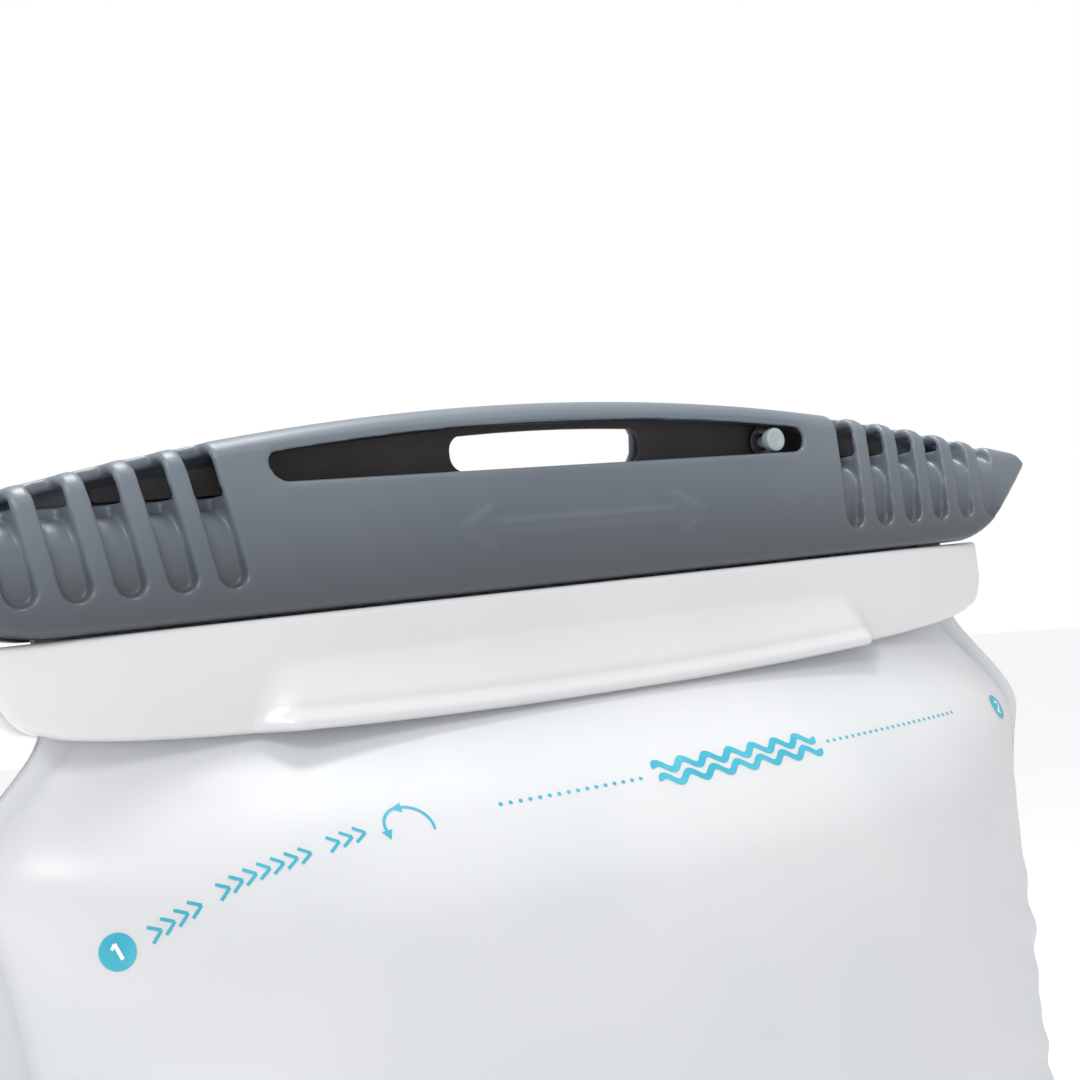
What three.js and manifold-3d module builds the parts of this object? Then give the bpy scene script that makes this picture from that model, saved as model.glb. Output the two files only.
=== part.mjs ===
// A three-litre hydration bladder with a slide-lock mouth, hanging from its closure, in millimetres.
// +X runs along the slider towards its closed end, -Y is the front and +Z is up.
// Pieces are drawn from the slider's bottom edge (Z = 0) and the whole is then lowered, so that the
// origin is the middle of the hang slot.
import * as THREE from "three";
import { LoftGeometry } from "three/addons/geometries/LoftGeometry.js";
import { mergeVertices } from "three/addons/utils/BufferGeometryUtils.js";
import Module from "manifold-3d";

const wasm = await Module();
wasm.setup();

// ---- clearances ----
const GAP = 0.3; // between pieces that touch
const RAIL_GAP = 0.6; // between a rail and the film that curves past it

// ---- bag ----
const FILM = 0.5; // film thickness
const BAG_BOTTOM = -352; // lower edge of the bag
const BAG_FLAT_WIDTH = 228; // width across the body when the bag lies flat
const MOUTH_FLAT_WIDTH = 181; // width across the mouth
const BAG_DEPTH = 84; // front to back when full
const SEAM_FLANGE = 5; // welded border
const CORNER_RADIUS = 45; // bottom corners
const SHOULDER_DROP = 24; // height over which the mouth widens to the body
const DOME_POWER = 0.62; // roundness of the filled section: 0.5 is an ellipse, 1 a parabola

// ---- slider ----
const SLIDER_LENGTH = 230;
const SLIDER_HEIGHT = 30.7; // at the middle of its arch
const SLIDER_BASE_THICKNESS = 15;
const SLIDER_SLOT_THICKNESS = 8.7; // at the middle height of the hang slot
const CREST_DROP = 14.5; // how far the arch falls from the middle to an end
const NOSE_LENGTH = 17.5; // part of each end whose underside rises
const NOSE_UNDERSIDE = 14; // height of the underside at the very end
const CREST_ROUND = 4.8; // height of the rounded crest
const SKIN = 1.6; // wall of the slider

// ---- slider channel, which grips the folded lips ----
const CHANNEL_HALF = 3.4; // half its inside width
const CHANNEL_ROUND_Z = 11.5; // where its sides turn into the round top
const CHANNEL_WALL = 1.4;
const NECK_HALF = 2.0; // half width of the slit that the films pass through
const NECK_HEIGHT = 3.0;
const LIP_END_CLEARANCE = 1.6; // between the lips and the channel's closed end

// ---- slots in the slider ----
const SLOT_HEIGHT = 7.6; // at the middle
const SLOT_ARCH_WALL = 3.5; // from the slots' upper edge to the crest
const SLOT_LEDGE = 1.3; // height of the skin's edge above the floor of the hollow
const FRONT_SLOT_LENGTH = 107.8;
const HANG_SLOT_LENGTH = 39.4;
const GRIP_COUNT = 6; // at each end
const GRIP_FIRST = 62.3; // middle of the innermost slot
const GRIP_PITCH = 7.7;
const GRIP_WIDTH = 4.3;
const GRIP_BOTTOM = 4.5;
const GRIP_LEAN = THREE.MathUtils.degToRad(8);

// ---- liner strip and its stud ----
const STRIP_THICKNESS = 1.2;
const STRIP_Y = 1.0; // middle of the strip, behind the slider's middle plane
const STRIP_LENGTH = 160;
const STUD_X = 47.5;
const STUD_SHANK = 2.4;

// ---- rails ----
const RAIL_LENGTH = 196;
const RAIL_HEIGHT = 18.4; // at the middle
const RAIL_END_HEIGHT = 13;
const RAIL_DEPTH = 7.6; // from the middle plane to the front face
const RAIL_WALL = 1.2; // least thickness in front of the film
const WEDGE_LENGTH = 120;
const WEDGE_PROUD = 4.3; // how far the wedge stands out at its lower lip
const WEDGE_TOP = -6.8;

// ---- folded lips ----
const LIP_PLY_PITCH = 0.8; // from one film to the next in the fold
const STRIP_PLY = 1.3; // thickness of a lip strip
const FRONT_STRIP_HEIGHT = 5.2; // the strip inside the fold
const REAR_STRIP_HEIGHT = 7.4; // the strip outside it
const FOLD_REACH = 1.6; // from the fold's middle to halfway between its two films
const FOLD_BASE = 6.2; // height at which the films stand straight inside the channel

// ---- port ----
const PORT_RISE = 74; // from the lower edge of the bag to the port's axis
const PORT_SINK = 1.5; // how far the flange draws the film in
const PATCH_MARGIN = 5; // flat film beyond the flange's edge
const PORT_BLEND = 14; // width of the ring where the flat runs out into the bag
const FLANGE_RADIUS = 25;
const BARREL_RADIUS = 11.2;
const SHOULDER_RADIUS = BARREL_RADIUS + 4;
const SOCKET_RADIUS = 6.5; // bore that takes the hose's plug
const CHAMBER_RADIUS = 8; // bore that holds the valve
const SEAT_RADIUS = 4.5;
const STEM_RADIUS = 1.4;
const HEAD_WIDTH = 26;
const HEAD_HEIGHT = 30;
const LATCH_HALF_WIDTH = 9;
const LATCH_THICKNESS = 1.6;
const LATCH_REST = 1.9; // how far the latch hole stands above the bore's axis at rest
const BUTTON_TRAVEL = 2.2;

const UP = new THREE.Vector3(0, 0, 1);
const { lerp, smoothstep, degToRad } = THREE.MathUtils;
const mirrored = (list) => list.map(([y, z]) => [-y, z]).reverse();

// ---- boolean work ----

/** The manifold solid of a closed three.js geometry. */
function solid(geometry) {
  const bare = new THREE.BufferGeometry().copy(geometry);
  bare.deleteAttribute("normal");
  bare.deleteAttribute("uv");
  const merged = mergeVertices(bare, 1e-4);
  return new wasm.Manifold(
    new wasm.Mesh({
      numProp: 3,
      vertProperties: new Float32Array(merged.attributes.position.array),
      triVerts: new Uint32Array(merged.index.array),
    }),
  );
}

/** The three.js geometry of a manifold solid. */
function geometryOf(manifold) {
  const mesh = manifold.getMesh();
  const geometry = new THREE.BufferGeometry();
  geometry.setAttribute("position", new THREE.Float32BufferAttribute(mesh.vertProperties, 3));
  geometry.setIndex(new THREE.Uint32BufferAttribute(mesh.triVerts, 1));
  geometry.computeVertexNormals();
  return geometry;
}

/** The first geometry with every later one cut away. */
function cut(body, ...tools) {
  return geometryOf(tools.reduce((left, tool) => left.subtract(solid(tool)), solid(body)));
}

// ---- general shapes ----

/** A smooth curve through [x, y] rows that never overshoots them. */
function smoothTable(rows) {
  const rise = rows.slice(1).map(([x, y], i) => (y - rows[i][1]) / (x - rows[i][0]));
  const slope = rows.map((_, i) => {
    const before = rise[i - 1];
    const after = rise[i];
    return before * after > 0 ? (2 * before * after) / (before + after) : 0;
  });
  return (x) => {
    const i = Math.max(1, rows.findIndex((row) => row[0] >= x));
    const [x0, y0] = rows[i - 1];
    const [x1, y1] = rows[i];
    const h = x1 - x0;
    const t = THREE.MathUtils.clamp((x - x0) / h, 0, 1);
    const s = t * t * (3 - 2 * t);
    const bend = h * t * (1 - t) * (slope[i - 1] * (1 - t) - slope[i] * t);
    return lerp(y0, y1, s) + bend;
  };
}

/** A solid of constant section along X; the outline is in (y, z). */
function alongX(shape, from, to) {
  const turn = new THREE.Matrix4().makeBasis(new THREE.Vector3(0, 1, 0), UP, new THREE.Vector3(1, 0, 0));
  return new THREE.ExtrudeGeometry(shape, { depth: to - from, bevelEnabled: false, curveSegments: 8 })
    .applyMatrix4(turn)
    .translate(from, 0, 0);
}

/** A solid of constant section along Y; the outline is in (x, z). */
function alongY(shape, from, to, curveSegments = 5) {
  const turn = new THREE.Matrix4().makeBasis(new THREE.Vector3(1, 0, 0), UP, new THREE.Vector3(0, -1, 0));
  return new THREE.ExtrudeGeometry(shape, { depth: to - from, bevelEnabled: false, curveSegments })
    .applyMatrix4(turn)
    .translate(0, to, 0);
}

/** A body lofted along X through rings of [y, z] points, one ring for each station. */
function loftAlongX(stations, ringAt) {
  const sections = stations.map((x) => ringAt(x).map(([y, z]) => new THREE.Vector3(x, y, z)));
  return new LoftGeometry(sections, { capStart: true, capEnd: true });
}

/** A turned piece about Y from [radius, y] points, which go up its outside. */
function turned(profile, segments = 32) {
  return new THREE.LatheGeometry(profile.map(([r, y]) => new THREE.Vector2(r, y)), segments);
}

/** A turned ring: the profile closes on itself. */
function ring(inner, outer, from, to, segments = 32) {
  return turned([[inner, from], [outer, from], [outer, to], [inner, to], [inner, from]], segments);
}

/** A slot outline in (x, z): flat bottom, arched top and corners that its end height can hold. */
function archedSlot(half, bottom, topMiddle, topEnd, corner) {
  const radius = Math.min(corner, 0.48 * (topEnd - bottom));
  const shape = new THREE.Shape();
  shape.moveTo(-half + radius, bottom);
  shape.lineTo(half - radius, bottom);
  shape.absarc(half - radius, bottom + radius, radius, -Math.PI / 2, 0);
  shape.absarc(half - radius, topEnd - radius, radius, 0, Math.PI / 2);
  shape.quadraticCurveTo(0, 2 * topMiddle - topEnd, -half + radius, topEnd);
  shape.absarc(-half + radius, topEnd - radius, radius, Math.PI / 2, Math.PI);
  shape.absarc(-half + radius, bottom + radius, radius, Math.PI, 1.5 * Math.PI);
  return shape;
}

/** A rounded rectangle in (x, z) about a centre. */
function roundedRectangle(width, height, radius, centreZ = 0) {
  const [w, h] = [width / 2 - radius, height / 2 - radius];
  const shape = new THREE.Shape();
  shape.absarc(w, centreZ + h, radius, 0, Math.PI / 2);
  shape.absarc(-w, centreZ + h, radius, Math.PI / 2, Math.PI);
  shape.absarc(-w, centreZ - h, radius, Math.PI, 1.5 * Math.PI);
  shape.absarc(w, centreZ - h, radius, 1.5 * Math.PI, 2 * Math.PI);
  return shape;
}

/** A coil's centre line about Y. */
class Helix extends THREE.Curve {
  constructor(radius, from, to, turns) {
    super();
    Object.assign(this, { radius, from, to, turns });
  }

  getPoint(t, target = new THREE.Vector3()) {
    const angle = 2 * Math.PI * this.turns * t;
    return target.set(
      this.radius * Math.cos(angle),
      lerp(this.from, this.to, t),
      this.radius * Math.sin(angle),
    );
  }
}

/** A coil spring about Y. */
function coil(radius, wire, from, to, turns) {
  const section = new THREE.Shape().absarc(0, 0, wire, 0, 2 * Math.PI);
  const path = new Helix(radius, from + wire, to - wire, turns);
  return new THREE.ExtrudeGeometry(section, { steps: turns * 10, extrudePath: path, curveSegments: 3 });
}

// ---- heights that follow from the sizes above ----

const slotTop = SLIDER_HEIGHT - SLOT_ARCH_WALL;
const slotBottom = slotTop - SLOT_HEIGHT;
const slotMiddle = (slotBottom + slotTop) / 2;
const portZ = BAG_BOTTOM + PORT_RISE;

// ---- the filled bag's shape ----

const lieY = GAP + FILM / 2; // middle of a film where the two panels lie together
const filmExit = -8; // where the films start to part below the mouth
const bagHeight = filmExit - BAG_BOTTOM;

/** Share of the full depth that a panel reaches, against the distance below the films' parting. */
const depthShare = smoothTable([
  [0, 0], [5, 0.082], [7, 0.131], [10, 0.208], [16, 0.416],
  [23, 0.613], [37, 0.82], [62, 0.94], [102, 0.985],
  [0.53 * bagHeight, 1], [bagHeight - 103, 0.96], [bagHeight - 53, 0.82], [bagHeight - 23, 0.52],
  [bagHeight - 9, 0.18], [bagHeight - SEAM_FLANGE, 0], [bagHeight, 0],
]);

/** Half the flat width of the bag at a height. */
function flatHalf(z) {
  const shoulder = smoothstep(filmExit - z, 3, 3 + SHOULDER_DROP);
  const corner = Math.max(0, CORNER_RADIUS - (z - BAG_BOTTOM));
  const rounding = CORNER_RADIUS - Math.sqrt(Math.max(0, CORNER_RADIUS ** 2 - corner ** 2));
  return lerp(MOUTH_FLAT_WIDTH, BAG_FLAT_WIDTH, shoulder) / 2 - rounding;
}

/** The domed section: 1 at the middle and 0 where the seam's flat border starts. */
const dome = (share) => Math.max(0, 1 - share * share) ** DOME_POWER;

/** Length of half a domed section of a given half width and depth. */
function domeArc(half, depth) {
  const steps = 24;
  let length = 0;
  for (let i = 0; i < steps; i++) {
    const [a, b] = [Math.sin((i / steps) * (Math.PI / 2)), Math.sin(((i + 1) / steps) * (Math.PI / 2))];
    length += Math.hypot(half * (b - a), depth * (dome(b) - dome(a)));
  }
  return length;
}

/** Half the filled width at a height: the film keeps its length, so the seams pull in as it fills. */
function filledHalf(z) {
  const depth = (BAG_DEPTH / 2) * depthShare(filmExit - z);
  const wanted = flatHalf(z) - SEAM_FLANGE;
  let [low, high] = [0, wanted];
  for (let i = 0; i < 26; i++) {
    const middle = (low + high) / 2;
    if (domeArc(middle, depth) < wanted) low = middle;
    else high = middle;
  }
  return (low + high) / 2 + SEAM_FLANGE;
}

/** How far a panel stands off its lie, at a place that is free of the port. */
function openDepth(x, z, half = filledHalf(z)) {
  return (BAG_DEPTH / 2) * depthShare(filmExit - z) * dome(Math.min(1, Math.abs(x) / (half - SEAM_FLANGE)));
}

const portDepth = openDepth(0, portZ) - PORT_SINK;

/** How far the front panel stands off its lie, with the flat round the port. */
function frontDepth(x, z, half) {
  const flat = FLANGE_RADIUS + PATCH_MARGIN;
  const away = smoothstep(Math.hypot(x, z - portZ), flat, flat + PORT_BLEND);
  return lerp(portDepth, openDepth(x, z, half), away);
}

// ---- bag pieces ----

/** The heights at which the panels are drawn, from the bottom edge to where the films part. */
function panelHeights() {
  const foot = [0, SEAM_FLANGE, 9, 16, 27].map((rise) => BAG_BOTTOM + rise);
  const flat = FLANGE_RADIUS + PATCH_MARGIN;
  const port = [-1.2, -0.87, -0.43, 0, 0.43, 0.87, 1.2].map((share) => portZ + share * flat);
  const body = [0.24, 0.34, 0.45, 0.56, 0.66].map((share) => filmExit - share * bagHeight);
  const shoulder = [0, 2, 4, 6, 8, 10.5, 14, 19, 26, 36, 52].map((drop) => filmExit - drop);
  const all = [...foot, ...port, ...body, ...shoulder].sort((a, b) => a - b);
  return all.filter((z, i) => i === 0 || z - all[i - 1] > 1);
}

const foldY = 0.9; // middle of the lip fold, behind the middle plane
const foldZ = CHANNEL_ROUND_Z + 0.1;

/** The film's way up through the neck and over the fold, as [y, z] points; side is -1 in front. */
function lipPath(side) {
  const reach = FOLD_REACH + (side * LIP_PLY_PITCH) / 2; // distance from the fold's middle
  const rise = [0, 0.33, 0.67, 1].map((share) => {
    const z = lerp(NECK_HEIGHT - 0.8, FOLD_BASE, share);
    return [lerp(side * lieY, foldY + reach, smoothstep(share, 0, 1)), z];
  });
  const over = [0, 30, 60, 90, 120, 150, 180].map((angle) => {
    const a = degToRad(angle);
    return [foldY + reach * Math.cos(a), foldZ + reach * Math.sin(a)];
  });
  return [...rise, ...over, [foldY - reach, FOLD_BASE - reach]];
}

/** The direction of a line of points at one of them: the mean of the ways in and out. */
function tangent(before, here, after) {
  const [a, b] = [here.clone().sub(before).normalize(), after.clone().sub(here).normalize()];
  return a.add(b).normalize();
}

/** How far the film's back face stands off each of its middle points, along the film's normal. */
function filmOffsets(rows) {
  const at = (list, i) => list[THREE.MathUtils.clamp(i, 0, list.length - 1)];
  return rows.map((row, level) =>
    row.map((p, i) => {
      const across = tangent(at(row, i - 1), p, at(row, i + 1));
      const up = tangent(at(rows, level - 1)[i], p, at(rows, level + 1)[i]);
      return up.cross(across).normalize().multiplyScalar(FILM / 2);
    }),
  );
}

/** The closed body of a film about rows of middle points; its two faces are split alike. */
function filmBody(rows) {
  const middle = rows.flat();
  const offsets = filmOffsets(rows).flat();
  const places = [-1, 1].flatMap((sign) => middle.map((p, i) => p.clone().addScaledVector(offsets[i], sign)));
  const [count, width] = [middle.length, rows[0].length];
  const index = [];
  const quad = (a, b, c, d) => index.push(a, b, c, a, c, d);
  const bothFaces = (a, b, c) => index.push(a, b, c, a + count, c + count, b + count);
  for (let a = 0; a < count - width; a++) {
    if (a % width === width - 1) continue;
    const [b, c, d] = [a + 1, a + width + 1, a + width];
    if (middle[a].distanceTo(middle[c]) < middle[b].distanceTo(middle[d])) {
      bothFaces(a, b, c);
      bothFaces(a, c, d);
    } else {
      bothFaces(a, b, d);
      bothFaces(b, c, d);
    }
  }
  for (let i = 0; i < width - 1; i++) {
    const top = count - width + i;
    quad(i + count, i + 1 + count, i + 1, i);
    quad(top, top + 1, top + 1 + count, top + count);
  }
  for (let left = 0; left < count - width; left += width) {
    const right = left + width - 1;
    quad(left + count, left, left + width, left + width + count);
    quad(right, right + count, right + width + count, right + width);
  }
  return new THREE.BufferGeometry().setFromPoints(places).setIndex(index);
}

/** A film panel with its share of the folded lip; side is -1 in front and +1 behind. */
function panel(side) {
  const heights = panelHeights();
  const halves = heights.map(filledHalf);
  const across = 14;
  const shares = [-1];
  for (let i = 0; i <= across; i++) shares.push(Math.sin(lerp(-1, 1, i / across) * 1.25) / Math.sin(1.25));
  shares.push(1);
  const body = heights.map((z, i) =>
    shares.map((share, index) => {
      const border = index === 0 || index === shares.length - 1;
      const x = share * (border ? halves[i] : halves[i] - SEAM_FLANGE);
      const depth = border ? 0 : side < 0 ? frontDepth(x, z, halves[i]) : openDepth(x, z, halves[i]);
      return new THREE.Vector3(x, side * (lieY + depth), z);
    }),
  );
  const mouth = body[body.length - 1];
  const lip = lipPath(side).map(([y, z]) => mouth.map(({ x }) => new THREE.Vector3(x, y, z)));
  return filmBody([...body, ...lip]);
}

/** The front panel, with the hole for the port. */
function frontPanel() {
  const hole = new THREE.CylinderGeometry(BARREL_RADIUS + 0.4, BARREL_RADIUS + 0.4, 20, 32)
    .translate(0, -(lieY + portDepth), portZ);
  return cut(panel(-1), hole);
}

/** A stiff strip welded to a lip, hanging in the fold from a height. */
function lipStrip(middleY, top, height) {
  const half = MOUTH_FLAT_WIDTH / 2 - 2;
  const section = roundedRectangle(STRIP_PLY, height, 0.4, top - height / 2);
  return alongX(section, -half, half).translate(0, middleY, 0);
}

/** Height of a rail's lower edge. */
function railBottom(x) {
  const share = Math.max(0, 1 - (x / (MOUTH_FLAT_WIDTH / 2 + 0.5)) ** 2);
  return -lerp(RAIL_END_HEIGHT, RAIL_HEIGHT, share ** 0.6);
}

/** How far a rail's wedge stands out of its front face. */
function wedge(x, z) {
  const lip = railBottom(x) + 1.2;
  const slope = THREE.MathUtils.clamp((WEDGE_TOP - z) / (WEDGE_TOP - lip), 0, 1);
  const edge = WEDGE_LENGTH / 2 - 3.5 * (1 - slope);
  return WEDGE_PROUD * slope * (1 - smoothstep(Math.abs(x), edge - 2.2, edge + 2.2));
}

/** A rail's section in (y, z), front rail: its back follows the film. */
function railRing(x) {
  const reach = Math.abs(x) / (RAIL_LENGTH / 2);
  const depth = lerp(2.6, RAIL_DEPTH, Math.sqrt(Math.max(0, 1 - reach ** 7)));
  const low = railBottom(x) * Math.sqrt(Math.max(0.1, 1 - Math.max(0, (reach - 0.93) / 0.075) ** 2));
  const top = -GAP - 0.1;
  const back = (z) => -(lieY + FILM / 2 + frontDepth(x, z, filledHalf(z)) + RAIL_GAP);
  const front = (z) => Math.min(-depth - wedge(x, z), back(z) - RAIL_WALL);
  const backs = [0, 0.1, 0.25, 0.42, 0.6, 0.8].map((share) => lerp(low, top, share)).map((z) => [back(z), z]);
  const fronts = [0, 0.18, 0.36, 0.55, 0.75, 0.95].map((share) => {
    const z = lerp(top - 0.8, low + 1.2, share);
    return [front(z), z];
  });
  const lipY = Math.min(front(low + 1.2) + 0.5, back(low) - RAIL_WALL / 2);
  return [...backs, [-(lieY + FILM / 2 + RAIL_GAP), top], [-depth + 0.6, top], ...fronts, [lipY, low + 0.2]];
}

/** The white front rail with its wedge. */
function frontRail() {
  const half = RAIL_LENGTH / 2;
  const wing = [0, 1, 3, 6, 10, 16, 23, 30].map((inset) => half - inset);
  const edge = WEDGE_LENGTH / 2;
  const inner = [edge + 2, edge, edge - 2, edge - 5, edge - 8, edge - 16, edge - 30, edge - 45];
  const right = [...wing, ...inner].sort((a, b) => b - a);
  return loftAlongX([...right.map((x) => -x), 0, ...right.reverse()], railRing);
}

/** A geometry turned half round Z, front to back. */
const turnedRound = (geometry) => geometry.rotateZ(Math.PI);

// ---- slider pieces ----

const sliderHalf = SLIDER_LENGTH / 2;
const crestAt = (x) => SLIDER_HEIGHT - CREST_DROP * (x / sliderHalf) ** 2;
const hollowFloor = slotBottom - SLOT_LEDGE;
const channelEnd = MOUTH_FLAT_WIDTH / 2 + LIP_END_CLEARANCE;

/** Half the slider's thickness. */
function sliderThickness(x, z) {
  const lean = (SLIDER_BASE_THICKNESS - SLIDER_SLOT_THICKNESS) / 2 / slotMiddle;
  const taper = smoothstep(Math.abs(x), 0.7 * sliderHalf, 1.1 * sliderHalf);
  return (SLIDER_BASE_THICKNESS / 2 - lean * z) * lerp(1, 0.62, taper);
}

/** The slider's outer section in (y, z), or with an inset its upper hollow. */
function sliderRing(x) {
  const rise = Math.max(0, (Math.abs(x) - (sliderHalf - NOSE_LENGTH)) / NOSE_LENGTH);
  const low = NOSE_UNDERSIDE * rise;
  const high = crestAt(x);
  const fit = Math.min(1, (high - low) / 14);
  const corner = 1.2 * fit;
  const crest = CREST_ROUND * fit;
  const foot = sliderThickness(x, low);
  const side = [[foot - corner, low], [foot - 0.3 * corner, low + 0.3 * corner]];
  for (let i = 0; i <= 2; i++) {
    const z = lerp(low + corner, high - crest, i / 2);
    side.push([sliderThickness(x, z), z]);
  }
  for (const angle of [25, 50, 75]) {
    const a = degToRad(angle);
    side.push([sliderThickness(x, high - crest) * Math.cos(a), high - crest * (1 - Math.sin(a))]);
  }
  return [...side, [0, high], ...mirrored(side)];
}

/** The hollow above the channel, as a cutter. */
function upperHollow() {
  const floor = hollowFloor;
  const reach = sliderHalf * Math.sqrt((SLIDER_HEIGHT - SKIN - floor - 2) / CREST_DROP);
  const stations = [];
  for (let i = 0; i <= 14; i++) stations.push(lerp(-reach, reach, i / 14));
  return loftAlongX(stations, (x) => {
    const top = crestAt(x) - SKIN - 0.4;
    const side = [0, 0.4, 0.75, 0.95].map((share) => {
      const z = lerp(floor, top, share);
      const round = share > 0.7 ? 1.2 * (share - 0.6) : 0;
      return [Math.max(0.5, sliderThickness(x, z) - SKIN - round), z];
    });
    return [...side, [0, top], ...mirrored(side)];
  });
}

/** The channel's outline in (y, z) at a given distance outside its inner wall. */
function channelShape(grow, bottom) {
  const half = CHANNEL_HALF + grow;
  const shape = new THREE.Shape().moveTo(-half, bottom).lineTo(half, bottom).lineTo(half, CHANNEL_ROUND_Z);
  return shape.absarc(0, CHANNEL_ROUND_Z, half, 0, Math.PI).lineTo(-half, bottom);
}

/** One grip slot through the front skin and its half of the crest, leaning outwards. */
function gripSlot(x) {
  const half = GRIP_WIDTH / 2;
  const shape = new THREE.Shape().moveTo(half, SLIDER_HEIGHT + 4).lineTo(-half, SLIDER_HEIGHT + 4);
  shape.absarc(0, half, half, Math.PI, 2 * Math.PI);
  return alongY(shape, -SLIDER_BASE_THICKNESS, 0, 6)
    .rotateY(Math.sign(x) * GRIP_LEAN)
    .translate(x, 0, GRIP_BOTTOM);
}

/** The slider: two skins, arched crest, inner channel open to the left, hang slot and grip slots. */
function sliderShell() {
  const stations = [];
  for (let i = 0; i <= 28; i++)
    stations.push((sliderHalf * Math.sin(lerp(-1, 1, i / 28) * 1.2)) / Math.sin(1.2));
  const outer = loftAlongX(stations, sliderRing);
  const chamber = alongX(channelShape(0, NECK_HEIGHT), -sliderHalf - 5, channelEnd);
  const neck = new THREE.BoxGeometry(sliderHalf + 5 + channelEnd, 2 * NECK_HALF, NECK_HEIGHT + 2)
    .translate((channelEnd - sliderHalf - 5) / 2, 0, NECK_HEIGHT / 2);
  const slotEnd = (half) => slotTop - CREST_DROP * (half / sliderHalf) ** 2;
  const [wide, narrow] = [FRONT_SLOT_LENGTH / 2, HANG_SLOT_LENGTH / 2];
  const frontSlot = archedSlot(wide, slotBottom, slotTop, slotEnd(wide), 2.1);
  const hangSlot = archedSlot(narrow, slotBottom, slotTop, slotEnd(narrow), 2.8);
  const kept = solid(alongX(channelShape(CHANNEL_WALL, -2), -sliderHalf - 10, sliderHalf + 10));
  let shell = solid(outer)
    .subtract(solid(upperHollow()))
    .subtract(solid(alongY(frontSlot, -SLIDER_BASE_THICKNESS, 0)))
    .subtract(solid(alongY(hangSlot, -1, SLIDER_BASE_THICKNESS)));
  for (let i = 0; i < GRIP_COUNT; i++)
    for (const side of [-1, 1])
      shell = shell.subtract(solid(gripSlot(side * (GRIP_FIRST + i * GRIP_PITCH))).subtract(kept));
  return geometryOf(shell.subtract(solid(chamber)).subtract(solid(neck)));
}

/** The dark strip that lines the hollow behind the front slot, with the hang slot through it. */
function hangStrip() {
  const floor = hollowFloor + GAP;
  const half = STRIP_LENGTH / 2;
  const top = (x) => crestAt(x) - SKIN - 0.4 - 1.2;
  const outline = archedSlot(half, floor, top(0), top(half), 0.8);
  const strip = alongY(outline, STRIP_Y - STRIP_THICKNESS / 2, STRIP_Y + STRIP_THICKNESS / 2);
  const narrow = HANG_SLOT_LENGTH / 2;
  const slotEnd = slotTop - CREST_DROP * (narrow / sliderHalf) ** 2;
  const opening = alongY(archedSlot(narrow, slotBottom + GAP, slotTop - 0.9, slotEnd - 0.9, 2.6), -5, 5);
  const studHole = new THREE.CylinderGeometry(STUD_SHANK / 2 + GAP, STUD_SHANK / 2 + GAP, 10, 20)
    .translate(STUD_X, 0, studZ);
  return cut(strip, opening, studHole);
}

const studHead = slotTop - CREST_DROP * ((STUD_X + 2.2) / sliderHalf) ** 2 - slotBottom - 2 * GAP;
const studZ = slotBottom + GAP + studHead / 2;
const washerFront = STRIP_Y - STRIP_THICKNESS / 2 - GAP - 0.7;

/** The stud that holds the strip: a round head in the front slot on a shank through the strip. */
function stripStud() {
  const [head, shank] = [studHead / 2, STUD_SHANK / 2];
  const front = -SLIDER_SLOT_THICKNESS / 2 + 0.3;
  const back = STRIP_Y + STRIP_THICKNESS / 2 + 0.3;
  return turned([
    [0, front], [head - 0.35, front], [head, front + 0.35], [head, front + 1.6],
    [shank, front + 1.9], [shank, back], [0, back],
  ], 28).translate(STUD_X, 0, studZ);
}

/** The washer between the stud's head and the strip. */
function studWasher() {
  return ring(STUD_SHANK / 2 + GAP, studHead / 2 + 0.85, washerFront, washerFront + 0.7, 28)
    .translate(STUD_X, 0, studZ);
}

// ---- port pieces, drawn about Y from the film's outer face, with +Y out of the bag ----

const flangeBase = 0.35;
const shoulderBase = 3.3;
const headBase = 8.5;
const headTop = 18;
const latchY = 15.5; // middle of the latch plate
const springY = 11.8; // middle of the button's spring
const seatTop = 7.5;
const seatBottom = 6;
const valveBottom = -7;
const guideBase = valveBottom + 0.2;
const guideTop = guideBase + 1.5;
const poppetTop = seatBottom - 1.8;
const buttonBase = HEAD_HEIGHT / 2 - 1.3; // underside of the button at rest
const buttonFloor = buttonBase - BUTTON_TRAVEL - GAP;
const wellFloor = SOCKET_RADIUS + 2.6;
const latchBottom = -(SOCKET_RADIUS + 3.7);

/** The disc welded to the film, with a collar round the barrel. */
function portFlange() {
  const bore = BARREL_RADIUS + 0.4;
  return turned([
    [bore, flangeBase], [FLANGE_RADIUS, flangeBase], [FLANGE_RADIUS, flangeBase + 0.5],
    [FLANGE_RADIUS - 1, flangeBase + 1], [bore + 6, flangeBase + 1.4], [bore + 3.4, shoulderBase - GAP],
    [bore, shoulderBase - GAP], [bore, flangeBase],
  ], 48);
}

/** The six-sided nut that clamps the barrel from inside the bag. */
function housingNut() {
  const shape = new THREE.Shape();
  for (let i = 0; i < 6; i++) {
    const a = (i * Math.PI) / 3;
    const corner = [16.5 * Math.cos(a), 16.5 * Math.sin(a)];
    if (i === 0) shape.moveTo(...corner);
    else shape.lineTo(...corner);
  }
  shape.closePath();
  shape.holes.push(new THREE.Path().absarc(0, 0, BARREL_RADIUS + GAP, 0, 2 * Math.PI, true));
  return alongY(shape, -FILM - GAP - 3.2, -FILM - GAP, 16);
}

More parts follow.
